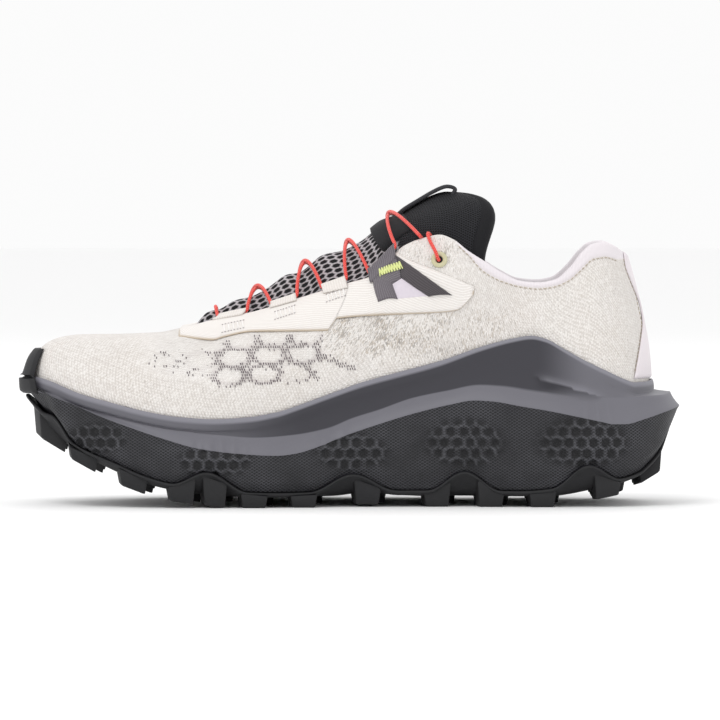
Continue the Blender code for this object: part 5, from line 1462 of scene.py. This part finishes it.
def curved(grid, axis, times):
    """The grid with one axis divided along smooth curves through its points."""
    grid = np.moveaxis(grid, axis, 0)
    rows = len(grid)
    step = np.linspace(0, rows - 1, (rows - 1) * times + 1)
    k = np.minimum(step.astype(int), rows - 2)
    t = (step - k).reshape(-1, *[1] * (grid.ndim - 1))
    slope = np.gradient(grid, axis=0)
    a, b, da, db = grid[k], grid[k + 1], slope[k], slope[k + 1]
    made = (1 + 2 * t) * (1 - t) ** 2 * a + t * (1 - t) ** 2 * da + t * t * (3 - 2 * t) * b
    return np.moveaxis(made + t * t * (t - 1) * db, 0, axis)


def tongue_grid():
    """Outer face, outward normals and thickness of the tongue at a fine step."""
    table = np.array(TONGUE_ROWS)
    step = np.linspace(0, len(table) - 1, TONGUE_STEPS)
    throat, along, height, sweep, pad = curved(table, 0, 12)[
        np.round(step * 12).astype(int)
    ].T
    pad = np.clip(pad, 0, 1)
    throat = np.clip(throat, 0.2587, None)
    medial = turn_at_edge(throat)
    medial[0] = 0.5
    middle = np.stack([place(along), MIDDLE_Y + 0 * along, height * EAR_HEIGHT], -1)
    sweep = np.clip(sweep, 0, None)[:, None] * SOLE_LENGTH
    arch = np.linspace(0, 1, 48)[1:]
    flank_rises = np.linspace(FLANK_RISES[0], 1.0, 10)
    halves, normals = [], []
    for turn in (medial, 1 - medial):
        flank = [upper_point(turn, rise, -(wall(turn, rise) + 3 * CLEARANCE)) for rise in flank_rises]
        away = [
            unit(upper_point(turn, rise, 0.001 + 0 * turn) - upper_point(turn, rise)) for rise in flank_rises
        ]
        edge = flank[-1]
        centre = middle.copy()
        centre[0] = edge[0]
        onwards = edge_frame(turn)[1]
        reach = np.linalg.norm(centre - edge, axis=-1, keepdims=True)
        first = edge + 0.38 * reach * onwards
        last = centre + 0.48 * (edge - centre) * ACROSS + sweep * np.array([1, 0, 0])
        last[0] = edge[0]
        columns = list(flank)
        for u in arch:
            ends = (1 - u) ** 3 * edge + 3 * u * (1 - u) ** 2 * first
            columns.append(ends + 3 * u * u * (1 - u) * last + u**3 * centre)
        halves.append(np.stack(columns, 1))
        normals.append(np.stack(away, 1))
    outer = np.concatenate([halves[0], halves[1][:, -2::-1]], 1)
    for _ in range(4):
        inner_part = outer[:, 8:-8]
        inner_part[:, 1:-1] = (inner_part[:, :-2] + 2 * inner_part[:, 1:-1] + inner_part[:, 2:]) / 4
    normal = np.cross(np.gradient(outer, axis=0), np.gradient(outer, axis=1))
    normal[0] = normals[0][0, -1]
    flanks = len(flank_rises)
    normal[:, :flanks] = normals[0]
    normal[:, -flanks:] = normals[1][:, ::-1]
    return outer, unit(normal), TONGUE_THICKNESS + (TONGUE_RIM - TONGUE_THICKNESS) * pad


def make_tongue_cloth_piece(cloth):
    outer, normal, thick = tongue_grid()
    to_end = np.cumsum(np.linalg.norm(np.diff(outer, axis=0), axis=-1)[::-1], 0)[::-1]
    to_end = np.concatenate([to_end, 0 * to_end[:1]])
    groove = np.exp(-(((to_end - 0.0036) / 0.0007) ** 2))
    roll = np.sin(np.clip(to_end / 0.0036, 0, 1) * math.pi)
    relief = 0.0002 * roll * (to_end < 0.0036) - 0.0006 * groove
    relief += 0.0005 * coarse_waviness(outer, 0.014, 9.0, 5) * ease(to_end / 0.01)
    raised = outer + normal * relief[..., None]
    inner = outer - normal * thick[:, None, None]
    centre = (outer[-1] + inner[-1]) / 2
    half = np.linalg.norm(outer[-1] - inner[-1], axis=-1, keepdims=True) / 2
    on = unit(outer[-1] - outer[-3])
    across, onwards = outer[-1] - centre, on * half * 0.7
    arcs, back = (
        [centre + sign * across * math.cos(a) + onwards * math.sin(a) for a in ROLL_ANGLES]
        for sign in (1, -1)
    )
    face, lining = np.concatenate([raised, arcs]), np.concatenate([inner, back])
    rim_mask = np.concatenate([ease((0.0038 - to_end) / 0.0005), np.ones((5, outer.shape[1]))])
    border = 0.533 + 0.045 * ease(np.abs(face[..., 1] - MIDDLE_Y) / 0.024)
    lattice = ease((border - share(face[..., 0])) / 0.002) * (1 - rim_mask)
    made = patch_sheet("mesh_tongue", face, lining, {"rim": rim_mask, "lattice": lattice})
    return dress(made, "tongue_mesh", cloth, replaces=("tongue",)), outer, normal


def make_lace_pocket(cloth, outer, normal):
    """The black flap sewn over the middle of the tongue, with a rounded front."""
    along = share(outer[:, outer.shape[1] // 2, 0])
    first, last = int(np.searchsorted(along, 0.531)), int(np.searchsorted(along, 0.578))
    middle = outer.shape[1] // 2
    rows, columns = last - first, 33
    part = np.linspace(0, 1, rows)
    rounded = np.sqrt(np.clip(1 - (1 - np.clip(part / 0.30, 0, 1)) ** 2, 0.02, 1))
    half = 0.5 * (outer.shape[1] - 1) * 0.62 * rounded
    spread = middle + half[:, None] * np.linspace(-1, 1, columns)[None, :]
    k = np.clip(spread.astype(int), 0, outer.shape[1] - 2)
    t = (spread - k)[..., None]
    r = (first + np.arange(rows))[:, None]
    base = outer[r, k] * (1 - t) + outer[r, k + 1] * t
    away = unit(normal[r, k] * (1 - t) + normal[r, k + 1] * t)
    soft = tapered(rows, columns, 0.06, 0.08)
    fall = ease((1 - part) / 0.7)[:, None]
    face = base + away * (0.0004 + 0.0016 * soft * fall)[..., None]
    made = patch_sheet("lace_pocket", face, base + away * 0.0003)
    return dress(made, "tongue_mesh", cloth)


def webbing_strip(name, path, frames, thickness):
    """Webbing along a path of (forwards, upwards) pairs through frames placed side by side."""
    step = unit(np.gradient(path, axis=0))
    normal = np.stack([-step[:, 1], step[:, 0]], -1)
    faces = []
    for side in (0.5, -0.5):
        line = path + normal * side * thickness
        columns = [origin + line[:, :1] * on + line[:, 1:] * away for origin, on, away in frames]
        faces.append(np.stack(columns, 1))
    return patch_sheet(name, faces[0], faces[1])


def loop_centre():
    """Where the lace's middle lies in a loop: past the throat's edge, and outwards."""
    bend = LACE_LOOK / 2 + 0.0001 + WEBBING / 2
    leg = 1.5 * OVERLAY_GAP + OVERLAY + WEBBING / 2
    return bend, leg, np.array([0.75 * bend, leg - 0.4 * bend])


def make_loop_webbing(number, loop, side, cloth):
    bend, leg, centre = loop_centre()
    lift = 0.0 if number < len(LACE_LOOPS) else 0.0004
    angle = np.radians(np.linspace(90, -140, 18))
    hook = centre + bend * np.stack([np.cos(angle), np.sin(angle)], -1)
    foot = np.stack([np.linspace(-LOOP_FOOT, -0.2 * LOOP_FOOT, 8), 0 * np.arange(8) + leg], -1)
    foot[0, 1] -= 0.0006
    path = np.concatenate([foot, hook]) + np.array([0, lift])
    stations = np.linspace(loop.front, loop.rear, 12)
    frames = [edge_frame(on_side(turn_at_edge(at), side)) for at in stations]
    made = webbing_strip(f"loop_webbing_{side}_{number}", path, frames, WEBBING)
    slot = "pale_webbing" if number < len(LACE_LOOPS) else "grey_webbing"
    return dress(made, slot, cloth, replaces=(f"lace_loop_{side}_{number}",))


def make_tab_webbing(cloth):
    lowered = [(along, height - 0.0095) for along, height in TAB_LINE]
    line = ((0.5734, 1.0700), *lowered, (0.6545, 1.1380))
    path = curved(np.array([(place(along), height * EAR_HEIGHT) for along, height in line]), 0, 6)
    forwards, upwards = np.array([1.0, 0, 0]), np.array([0, 0, 1.0])
    spread = np.linspace(-0.5, 0.5, 9) * TAB_WIDTH
    frames = [(np.array([0, MIDDLE_Y + y, 0]), forwards, upwards) for y in spread]
    made = webbing_strip("tab_webbing", path, frames, 1.4 * TAB_THICKNESS)
    return dress(made, "tongue_mesh", cloth, replaces=("tongue_tab",))


def eyelet_frame(side):
    """Centre of an eyelet on the upper's outer face, its outward direction and the wall's thickness."""
    turn, rise = locate(EYELET_ALONG, EYELET_HEIGHT * EAR_HEIGHT)
    turn = on_side(turn, side)
    centre = upper_point(turn, rise)
    return centre, unit(upper_point(turn, rise, 0.001) - centre), float(wall(turn, rise))


def make_eyelet_ring(side, plastic):
    """A moulded grommet with a rounded flange, turned about its own axis."""
    centre, direction, thickness = eyelet_frame(side)
    hole, barrel, flange = EYELET_HOLE / 2, EYELET_BARREL / 2, EYELET_FLANGE / 2
    top = CLEARANCE + EYELET_THICKNESS
    angle = np.radians(np.linspace(0, 180, 13))
    middle, half = (hole + flange) / 2, (flange - hole) / 2
    profile = [(middle - half * math.cos(a), 0.5 * top + 0.5 * top * math.sin(a) ** 0.7) for a in angle]
    profile += [(flange, 0.2 * top), (flange - 0.0003, 0.0001), (barrel, 0.0001), (barrel, -thickness)]
    profile += [(hole, -thickness)]
    first = unit(np.cross(direction, np.array([0, 0, 1.0])))
    second = np.cross(direction, first)
    count = 48
    around_axis = np.linspace(0, 2 * math.pi, count, endpoint=False)
    spoke = np.cos(around_axis)[:, None] * first + np.sin(around_axis)[:, None] * second
    rings = np.stack([centre + radius * spoke + level * direction for radius, level in profile])
    u = np.broadcast_to(np.linspace(0, 0.02, count + 1), (len(rings), count + 1))
    v = np.broadcast_to(np.linspace(0, 0.01, len(rings))[:, None], (len(rings), count + 1))
    made = tidy_normals(ring_sheet("eyelet_ring_" + side, rings, u, v, joined=True))
    return dress(made, "eyelet_plastic", plastic, replaces=("eyelet_" + side,))


def make_eyelet_shadow(side, cloth):
    """The eyelet's dark inside as a painted shadow: a dark disc at the foot of its hole, where there is only
    shade.
    """
    centre, direction, _ = eyelet_frame(side)
    first = unit(np.cross(direction, np.array([0, 0, 1.0])))
    second = np.cross(direction, first)
    angle = np.linspace(0, 2 * math.pi, 24, endpoint=False)[:, None]
    rim_points = 0.5 * EYELET_HOLE * 1.05 * (np.cos(angle) * first + np.sin(angle) * second)
    points = centre + 0.0003 * direction + np.concatenate([rim_points, [0 * direction]])
    faces = np.array([(k, (k + 1) % 24, 24) for k in range(24)])
    made = lay_out("eyelet_shadow_" + side, points, faces, np.zeros((72, 2)))
    return dress(made, "eyelet_plastic", cloth)


def loop_mouth(at, side):
    """The lace's middle beside a station of the throat's edge."""
    top, onwards, away = edge_frame(on_side(turn_at_edge(at), side))
    forwards, upwards = loop_centre()[2]
    return top + forwards * onwards + upwards * away


def smooth_path(points, step):
    """A path resampled at an even step after rounding its corners."""
    points = curved(np.asarray(points), 0, 10)
    for _ in range(6):
        points[1:-1] = (points[:-2] + 2 * points[1:-1] + points[2:]) / 4
    gone = np.concatenate([[0], np.cumsum(np.linalg.norm(np.diff(points, axis=0), axis=-1))])
    at = np.linspace(0, gone[-1], max(8, int(gone[-1] / step)))
    return np.stack([np.interp(at, gone, points[:, k]) for k in range(3)], -1)


def tube(name, path, radius, sides=14):
    """A round cord along a path, closed at its ends, with a map in metres along and around it."""
    tangent = unit(np.gradient(path, axis=0))
    normal = np.cross(tangent[0], [0.3, 0.2, 1.0])
    rings = []
    angle = np.linspace(0, 2 * math.pi, sides, endpoint=False)[:, None]
    for point, forward in zip(path, tangent):
        normal = unit(normal - forward * np.dot(normal, forward))
        rings.append(point + radius * (np.cos(angle) * normal + np.sin(angle) * np.cross(forward, normal)))
    ends = [path[:1] - tangent[:1] * radius * 0.4, path[-1:] + tangent[-1:] * radius * 0.4]
    rings = (
        [ends[0] + (rings[0] - path[0]) * 0.05, ends[0] + (rings[0] - path[0]) * 0.7] + rings
        + [ends[1] + (rings[-1] - path[-1]) * 0.7, ends[1] + (rings[-1] - path[-1]) * 0.05]
    )
    rings = np.asarray(rings)
    rows = len(rings)
    gone = np.concatenate([[0], np.cumsum(np.linalg.norm(np.diff(rings.mean(1), axis=0), axis=-1))])
    u = np.broadcast_to(gone[:, None], (rows, sides + 1))
    v = np.broadcast_to(np.linspace(0, 2 * math.pi * radius, sides + 1), (rows, sides + 1))
    return tidy_normals(ring_sheet(name, rings, u, v))


def over(points, spots, clear):
    """Lifts a path's points so that the cord lies on the spots under it."""
    lifted = points.copy()
    for k, point in enumerate(points):
        away = np.hypot(spots[:, 0] - point[0], spots[:, 1] - point[1])
        near = spots[away < max(LACE_DIAMETER / 2, away.min() + 1e-6), 2].max()
        lifted[k, 2] = max(point[2], near + clear)
    return lifted


def crossing_path(number, side, spots):
    """From a loop's rear mouth on one side over the middle line to the next loop's front on the other."""
    far = "lateral" if side == "medial" else "medial"
    at = CROSSINGS[number - 1]
    height = float(np.interp(at, [row.along for row in TONGUE_ROWS], [row.height for row in TONGUE_ROWS]))
    middle = np.array([float(place(at)), MIDDLE_Y, height * EAR_HEIGHT + LACE_DIAMETER])
    middle[2] += (0.35 if side == "medial" else 0.95) * LACE_DIAMETER
    start = loop_mouth(LACE_LOOPS[number - 1].rear, side)
    last = number == len(LACE_LOOPS)
    end = loop_mouth(EAR_PASS, far) if last else loop_mouth(LACE_LOOPS[number].front, far)
    u = np.linspace(0, 1, 14)[:, None]
    knee = 2 * middle - (start + end) / 2
    points = (1 - u) ** 2 * start + 2 * u * (1 - u) * knee + u * u * end
    points[1:-1] = over(points[1:-1], spots, LACE_DIAMETER / 2 + (0.0002 if side == "medial" else 0.0006))
    return points


def loop_run(number, side):
    """Through a loop from its rear mouth to its front one."""
    loop = LACE_LOOPS[number - 1]
    lift = 0.0 if number < len(LACE_LOOPS) else 0.4 * OVERLAY
    return [
        loop_mouth(at, side) + lift * edge_frame(on_side(turn_at_edge(at), side))[2]
        for at in np.linspace(loop.rear, loop.front, 5)
    ]


def make_laces(braid, outer):
    """One lace from ear to ear: down through the loops of both sides in turn, over the bar, and up again."""
    spots = outer[::2, ::2].reshape(-1, 3)
    halves = []
    for first in SIDES:
        side = first
        points = []
        for number in range(len(LACE_LOOPS), 0, -1):
            cross = crossing_path(number, side, spots)[::-1]
            points += list(cross)[:-1] + loop_run(number, side)
            side = "lateral" if side == "medial" else "medial"
        halves.append(points)
    front = [half[-1] for half in halves]
    bar = [front[0] + (front[1] - front[0]) * t for t in np.linspace(0, 1, 10)[1:-1]]
    bar = list(over(np.array(bar), spots, LACE_DIAMETER / 2 + 0.0002))
    for k, point in enumerate(bar):
        point[0] -= 0.0022 * math.sin(math.pi * (k + 1) / 9)
    path = smooth_path(np.array(halves[0] + bar + halves[1][::-1]), 0.0009)
    made = tube("lace_through_loops", path, LACE_LOOK / 2)
    hidden = ["lace_bar"] + [f"lace_crossing_{number}" for number in range(1, len(LACE_LOOPS) + 1)]
    return dress(made, "lace_cord", braid, replaces=hidden), path


def make_lace_tail(side, braid):
    """The lace's end: behind the ear, out through the eyelet, up the ear and back over its edge."""
    centre, direction, thickness = eyelet_frame(side)
    enter, return_ = (edge_frame(on_side(turn_at_edge(at), side)) for at in (EAR_PASS, EAR_RETURN))
    radius = LACE_DIAMETER / 2
    clear = radius + CLEARANCE
    top, onwards, away = return_
    points = [
        loop_mouth(EAR_PASS, side),
        enter[0] - enter[2] * (thickness + 0.5 * clear) + enter[1] * 0.2 * clear,
        centre - direction * (thickness + 1.6 * clear) + (enter[0] - centre) * 0.35,
        centre - direction * (thickness + 0.8 * clear),
        centre - direction * 0.3 * thickness,
        centre + direction * (EYELET_THICKNESS + 0.5 * clear) - np.array([0.0004, 0, 0]),
        (2 * centre + top) / 3 + direction * (EYELET_THICKNESS + 1.6 * clear),
        (centre + 2 * top) / 3 + away * (EYELET_THICKNESS + 1.1 * clear),
        top + away * 0.9 * clear + onwards * 0.2 * clear,
        top + away * 0.2 * clear + onwards * 1.0 * clear,
        top - away * 2.2 * clear + onwards * 0.7 * clear,
        top - away * (thickness * 0.6 + 2.2 * clear) - onwards * 0.8 * clear,
    ]
    path = smooth_path(np.array(points), 0.0008)
    length = float(np.linalg.norm(np.diff(path, axis=0), axis=-1).sum())
    made = tube("lace_tail_" + side, path, LACE_LOOK / 2)
    return dress(made, "lace_cord", braid, replaces=("lace_end_" + side,)), length


# Stitching

def stitch_tree():
    """Geometry Nodes that lay short threads end to end along a line."""
    tree = bpy.data.node_groups.new("stitching", "GeometryNodeTree")
    face = tree.interface
    face.new_socket("Line", in_out="INPUT", socket_type="NodeSocketGeometry")
    for name, value in (("Pitch", 0.0022), ("Length", 0.0016), ("Thickness", 0.0005)):
        face.new_socket(name, in_out="INPUT", socket_type="NodeSocketFloat").default_value = value
    face.new_socket("Thread", in_out="INPUT", socket_type="NodeSocketMaterial")
    face.new_socket("Stitches", in_out="OUTPUT", socket_type="NodeSocketGeometry")
    given = node(tree, "NodeGroupInput").outputs
    curve = node(tree, "GeometryNodeMeshToCurve", {"Mesh": given["Line"]}).outputs[0]
    spaced = node(
        tree, "GeometryNodeCurveToPoints", {"Curve": curve, "Length": given["Pitch"]}, mode="LENGTH"
    ).outputs
    drop = node(tree, "GeometryNodeMeshUVSphere", {"Segments": 6, "Rings": 5, "Radius": 0.5}).outputs[0]
    size = node(
        tree, "ShaderNodeCombineXYZ", {"X": given["Thickness"], "Y": given["Thickness"], "Z": given["Length"]}
    ).outputs[0]
    along = node(
        tree, "FunctionNodeAlignRotationToVector", {"Vector": spaced["Tangent"]}, axis="Z"
    ).outputs[0]
    laid = node(
        tree, "GeometryNodeInstanceOnPoints",
        {"Points": spaced["Points"], "Instance": drop, "Rotation": along, "Scale": size},
    ).outputs[0]
    whole = node(tree, "GeometryNodeRealizeInstances", {"Geometry": laid}).outputs[0]
    named = node(tree, "GeometryNodeSetMaterial", {"Geometry": whole, "Material": given["Thread"]}).outputs[0]
    node(tree, "NodeGroupOutput", {"Stitches": named})
    return tree


def lay_stitches(name, tree, lines, thread, pitch, length, thickness):
    """Stitches along lines of points, as one plain mesh."""
    points = np.concatenate(lines)
    starts = np.cumsum([0] + [len(line) for line in lines])
    edges = [(k, k + 1) for a, b in zip(starts, starts[1:]) for k in range(a, b - 1)]
    mesh = bpy.data.meshes.new(name + "_line")
    mesh.from_pydata(points.tolist(), edges, [])
    base = add_object(name + "_line", mesh)
    modifier = base.modifiers.new("stitching", "NODES")
    modifier.node_group = tree
    sockets = {item.name: item.identifier for item in tree.interface.items_tree if item.in_out == "INPUT"}
    for key, value in (("Pitch", pitch), ("Length", length), ("Thickness", thickness), ("Thread", thread)):
        modifier[sockets[key]] = value
    bpy.context.view_layer.update()
    made = bpy.data.meshes.new_from_object(base.evaluated_get(bpy.context.evaluated_depsgraph_get()))
    made.name = name
    made.shade_smooth()
    obj = add_object(name, made)
    bpy.data.objects.remove(base)
    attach(obj, "root")
    return obj


def on_upper(along, height, side, lift):
    """Points on the upper seen at stations and heights of the side view."""
    turn, rise = locate(np.asarray(along, float), np.asarray(height, float) * EAR_HEIGHT)
    return upper_point(on_side(turn, side), rise, lift + 0 * turn)


def seam_lines():
    lines = []
    for side in SIDES:
        along = np.linspace(0.666, 0.9005, 120)
        lines.append(on_upper(along, seam_height(along) / EAR_HEIGHT - 0.004, side, 0.00005))
        height = np.linspace(0.50, 0.90, 80)
        lines.append(on_upper(heel_seam(height) - 0.0006, height, side, 0.0002))
    return lines


def tack_lines():
    """Rows of the sewn rectangles under the first three loops."""
    lines = []
    for side in SIDES:
        for loop in LACE_LOOPS[:3]:
            span = np.linspace(loop.front + 0.006, loop.rear - 0.003, 12)
            for drop in TACK_DROPS:
                lines.append(on_upper(span, top_height(span) - drop, side, 0.0016))
    return lines


def tack_bars():
    """Raised bars of thread between the two rows of each sewn rectangle."""
    lines = []
    for side in SIDES:
        for loop in LACE_LOOPS[:3]:
            for at in np.linspace(loop.front + 0.008, loop.rear - 0.005, 5):
                along = np.full(6, at)
                height = top_height(along) - np.linspace(TACK_DROPS[0] + 0.004, TACK_DROPS[1] - 0.004, 6)
                lines.append(on_upper(along + np.linspace(0, 0.0015, 6), height, side, 0.0016))
    return lines


def zigzag_lines():
    """The close zigzag sewn across the top of the wing."""
    lines = []
    for side in SIDES:
        along, height = [], []
        for k in range(19):
            t = k / 18
            centre_along, centre_height = 0.5500 + 0.0310 * t, 0.8500 + 0.0310 * t
            swing = 0.012 * (1 if k % 2 else -1)
            along.append(centre_along - 0.10 * swing)
            height.append(centre_height + swing)
        lines.append(curved(on_upper(along, height, side, 0.0026), 0, 1))
    return lines


def dash_lines():
    """Short dark dashes on the knit's own grid, crowded round the ovals and along the trails."""
    chance = np.random.default_rng(7)
    columns = np.arange(0.195 * SOLE_LENGTH, 0.51 * SOLE_LENGTH, DASH_PITCH[0])
    rows = np.arange(0.44 * EAR_HEIGHT, 0.70 * EAR_HEIGHT, DASH_PITCH[1])
    along, height = np.meshgrid(columns, rows)
    along += (np.arange(len(rows)) % 2 * 0.5 * DASH_PITCH[0])[:, None]
    along, height = along.ravel() / SOLE_LENGTH, height.ravel() / EAR_HEIGHT
    along = along + chance.uniform(-0.0006, 0.0006, len(along))
    height = height + chance.uniform(-0.0012, 0.0012, len(along))
    crowd = 0.16 * ease((along - 0.197) / 0.01) * ease((0.270 - along) / 0.02)
    crowd = crowd * (np.abs(height - 0.545) < 0.032)
    for oval in DASH_OVALS:
        crowd = np.maximum(crowd, near_oval(oval, along, height, 0.21))
    for along_0, height_0, along_1, height_1, close in DASH_TRAILS:
        away, _ = segment_distance(
            along * SOLE_LENGTH, height * EAR_HEIGHT, along_0 * SOLE_LENGTH, height_0 * EAR_HEIGHT,
            along_1 * SOLE_LENGTH, height_1 * EAR_HEIGHT,
        )
        crowd = np.maximum(crowd, close * np.exp(-((away / 0.0013) ** 2)))
    kept = (chance.random(len(along)) < 1.05 * crowd) & (
        (height < eyestay_low(along) - 0.008) | (along < EYESTAY_FRONT)
    )
    along, height = along[kept], height[kept]
    lean = chance.uniform(-0.0014, 0.0002, len(along))
    lines = []
    for side in SIDES:
        lower = on_upper(along, height - 0.0045, side, 0.00006)
        higher = on_upper(along + lean, height + 0.0045, side, 0.00006)
        lines += list(np.stack([lower, higher], 1))
    return lines


def make_stage():
    floor_material, tree, shader = start_material("pale_paper_floor", 0.9)
    grain = node(tree, "ShaderNodeTexNoise", {"Scale": 3.0}).outputs["Fac"]
    finish_material(tree, shader, blend_colours(tree, grain, "#FAFAFA", "#FDFDFD"))
    mesh = bpy.data.meshes.new("floor")
    mesh.from_pydata([(-6, -6, 0), (6, -6, 0), (6, 6, 0), (-6, 6, 0)], [], [(0, 1, 2, 3)])
    mesh.materials.append(floor_material)
    add_object("floor", mesh)
    world = bpy.data.worlds.new("soft_studio")
    bpy.context.scene.world = world
    world.use_nodes = True
    back = world.node_tree.nodes["Background"]
    back.inputs["Color"].default_value = (1, 1, 1, 1)
    back.inputs["Strength"].default_value = 0.97
    lamps = (
        ("key", (-0.6, -0.9, 1.9), 0.9, 11.0),
        ("fill", (1.3, -1.2, 0.6), 1.2, 1.0),
        ("back", (0.2, 1.4, 1.3), 1.2, 4.0),
    )
    for name, spot, size, power in lamps:
        lamp = bpy.data.lights.new(name, "AREA")
        lamp.size, lamp.energy = size, power
        obj = add_object(name, lamp)
        obj.location = spot
        obj.rotation_euler = (Vector((0, 0, 0.05)) - Vector(spot)).to_track_quat("-Z", "Y").to_euler()
    bpy.context.scene.view_settings.view_transform = "Standard"


def make_camera():
    """A long lens at the height of the shoe, square to its inner side."""
    near, distance, tilt = -0.035, 3.2, math.radians(2.0)
    target = Vector((0.00477, near, 0.0660))
    lens = bpy.data.cameras.new("camera")
    lens.sensor_width = 36.0
    lens.lens = 36.0 * distance / 0.3240
    camera = add_object("camera", lens)
    camera.location = target + Vector((0, -math.cos(tilt), math.sin(tilt))) * distance
    camera.rotation_euler = (target - camera.location).to_track_quat("-Z", "Y").to_euler()
    bpy.context.scene.camera = camera


def main():
    make_camera()
    make_stage()
    knit, binding = make_knit(), make_binding()
    smooth, textured, rubber = make_foam(), make_textured_foam(), make_rubber()
    braid = make_lace_braid()
    light = make_webbing("taupe_woven_webbing", "#5A545A", "#7B757B")
    cream = make_webbing("cream_woven_webbing", "#DCD5CF", "#EBE6E1", 0.0012)
    dark = make_webbing("dark_taupe_woven_webbing", "#3D383B", "#565054")
    black = make_webbing("black_woven_webbing", "#121215", "#2E2E33")
    tongue_cloth = make_tongue_cloth()
    plastic = make_plain(
        "moulded_nylon", "#B9B48F", "#CBC7A6", 0.42, 900.0, 0.00003, Specular_IOR_Level=0.5)
    window = make_plain("pale_lilac_film", "#CDC4CE", "#D9D1D9", 0.6, 700.0, 0.00004)
    sock = make_plain("brushed_black_polyester", "#0D0D10", "#1C1C20", 0.9, 1300.0, 0.0001, Sheen_Weight=0.08)
    tan = make_plain("tan_polyester_thread", "#A29480", "#BBAE9C", 0.6, 2000.0, 0.00002)
    lime = make_plain("lime_polyester_thread", "#CDD67A", "#E8EEB0", 0.5, 2000.0, 0.00002)
    plum = make_plain("plum_black_polyester_yarn", "#42363D", "#6A5C63", 0.75, 2000.0, 0.00002)
    pale = make_plain("white_polyester_thread", "#E9E5E2", "#F6F4F2", 0.6, 2000.0, 0.00002)
    grey_thread = make_plain("grey_polyester_thread", "#9C9696", "#C9C3C2", 0.6, 2000.0, 0.00002)
    make_upper_cloth(knit, binding)
    make_midsole_foam(smooth, textured)
    make_outsole_rubber(rubber)
    make_insole_cloth(sock)
    film = make_film()
    make_eyestay_film(film)
    make_heel_binding(binding)
    make_toe_rubber(rubber)
    _, outer, normal = make_tongue_cloth_piece(tongue_cloth)
    make_lace_pocket(sock, outer, normal)
    make_tab_webbing(black)
    for side in SIDES:
        make_wing_webbing(side, light, dark)
        make_wing_window(side, window)
        make_eyelet_ring(side, plastic)
        make_eyelet_shadow(side, sock)
        for number, loop in enumerate(LACE_LOOPS, 1):
            make_loop_webbing(number, loop, side, cream if number < len(LACE_LOOPS) else light)
        _, length = make_lace_tail(side, braid)
        print("lace tail", side, round(length, 4))
    _, path = make_laces(braid, outer)
    print("lace", round(float(np.linalg.norm(np.diff(path, axis=0), axis=-1).sum()), 4))
    tree = stitch_tree()
    lay_stitches("seam_stitches", tree, seam_lines(), tan, 0.0022, 0.0017, 0.0004)
    lay_stitches("tack_stitches", tree, tack_lines(), grey_thread, 0.0013, 0.0009, 0.0005)
    lay_stitches("knitted_dashes", tree, dash_lines(), plum, 0.0030, 0.00125, 0.00042)
    lay_stitches("tack_bars", tree, tack_bars(), pale, 0.0005, 0.0008, 0.00085)
    lay_stitches("wing_zigzag", tree, zigzag_lines(), lime, 0.0004, 0.0009, 0.0006)


main()
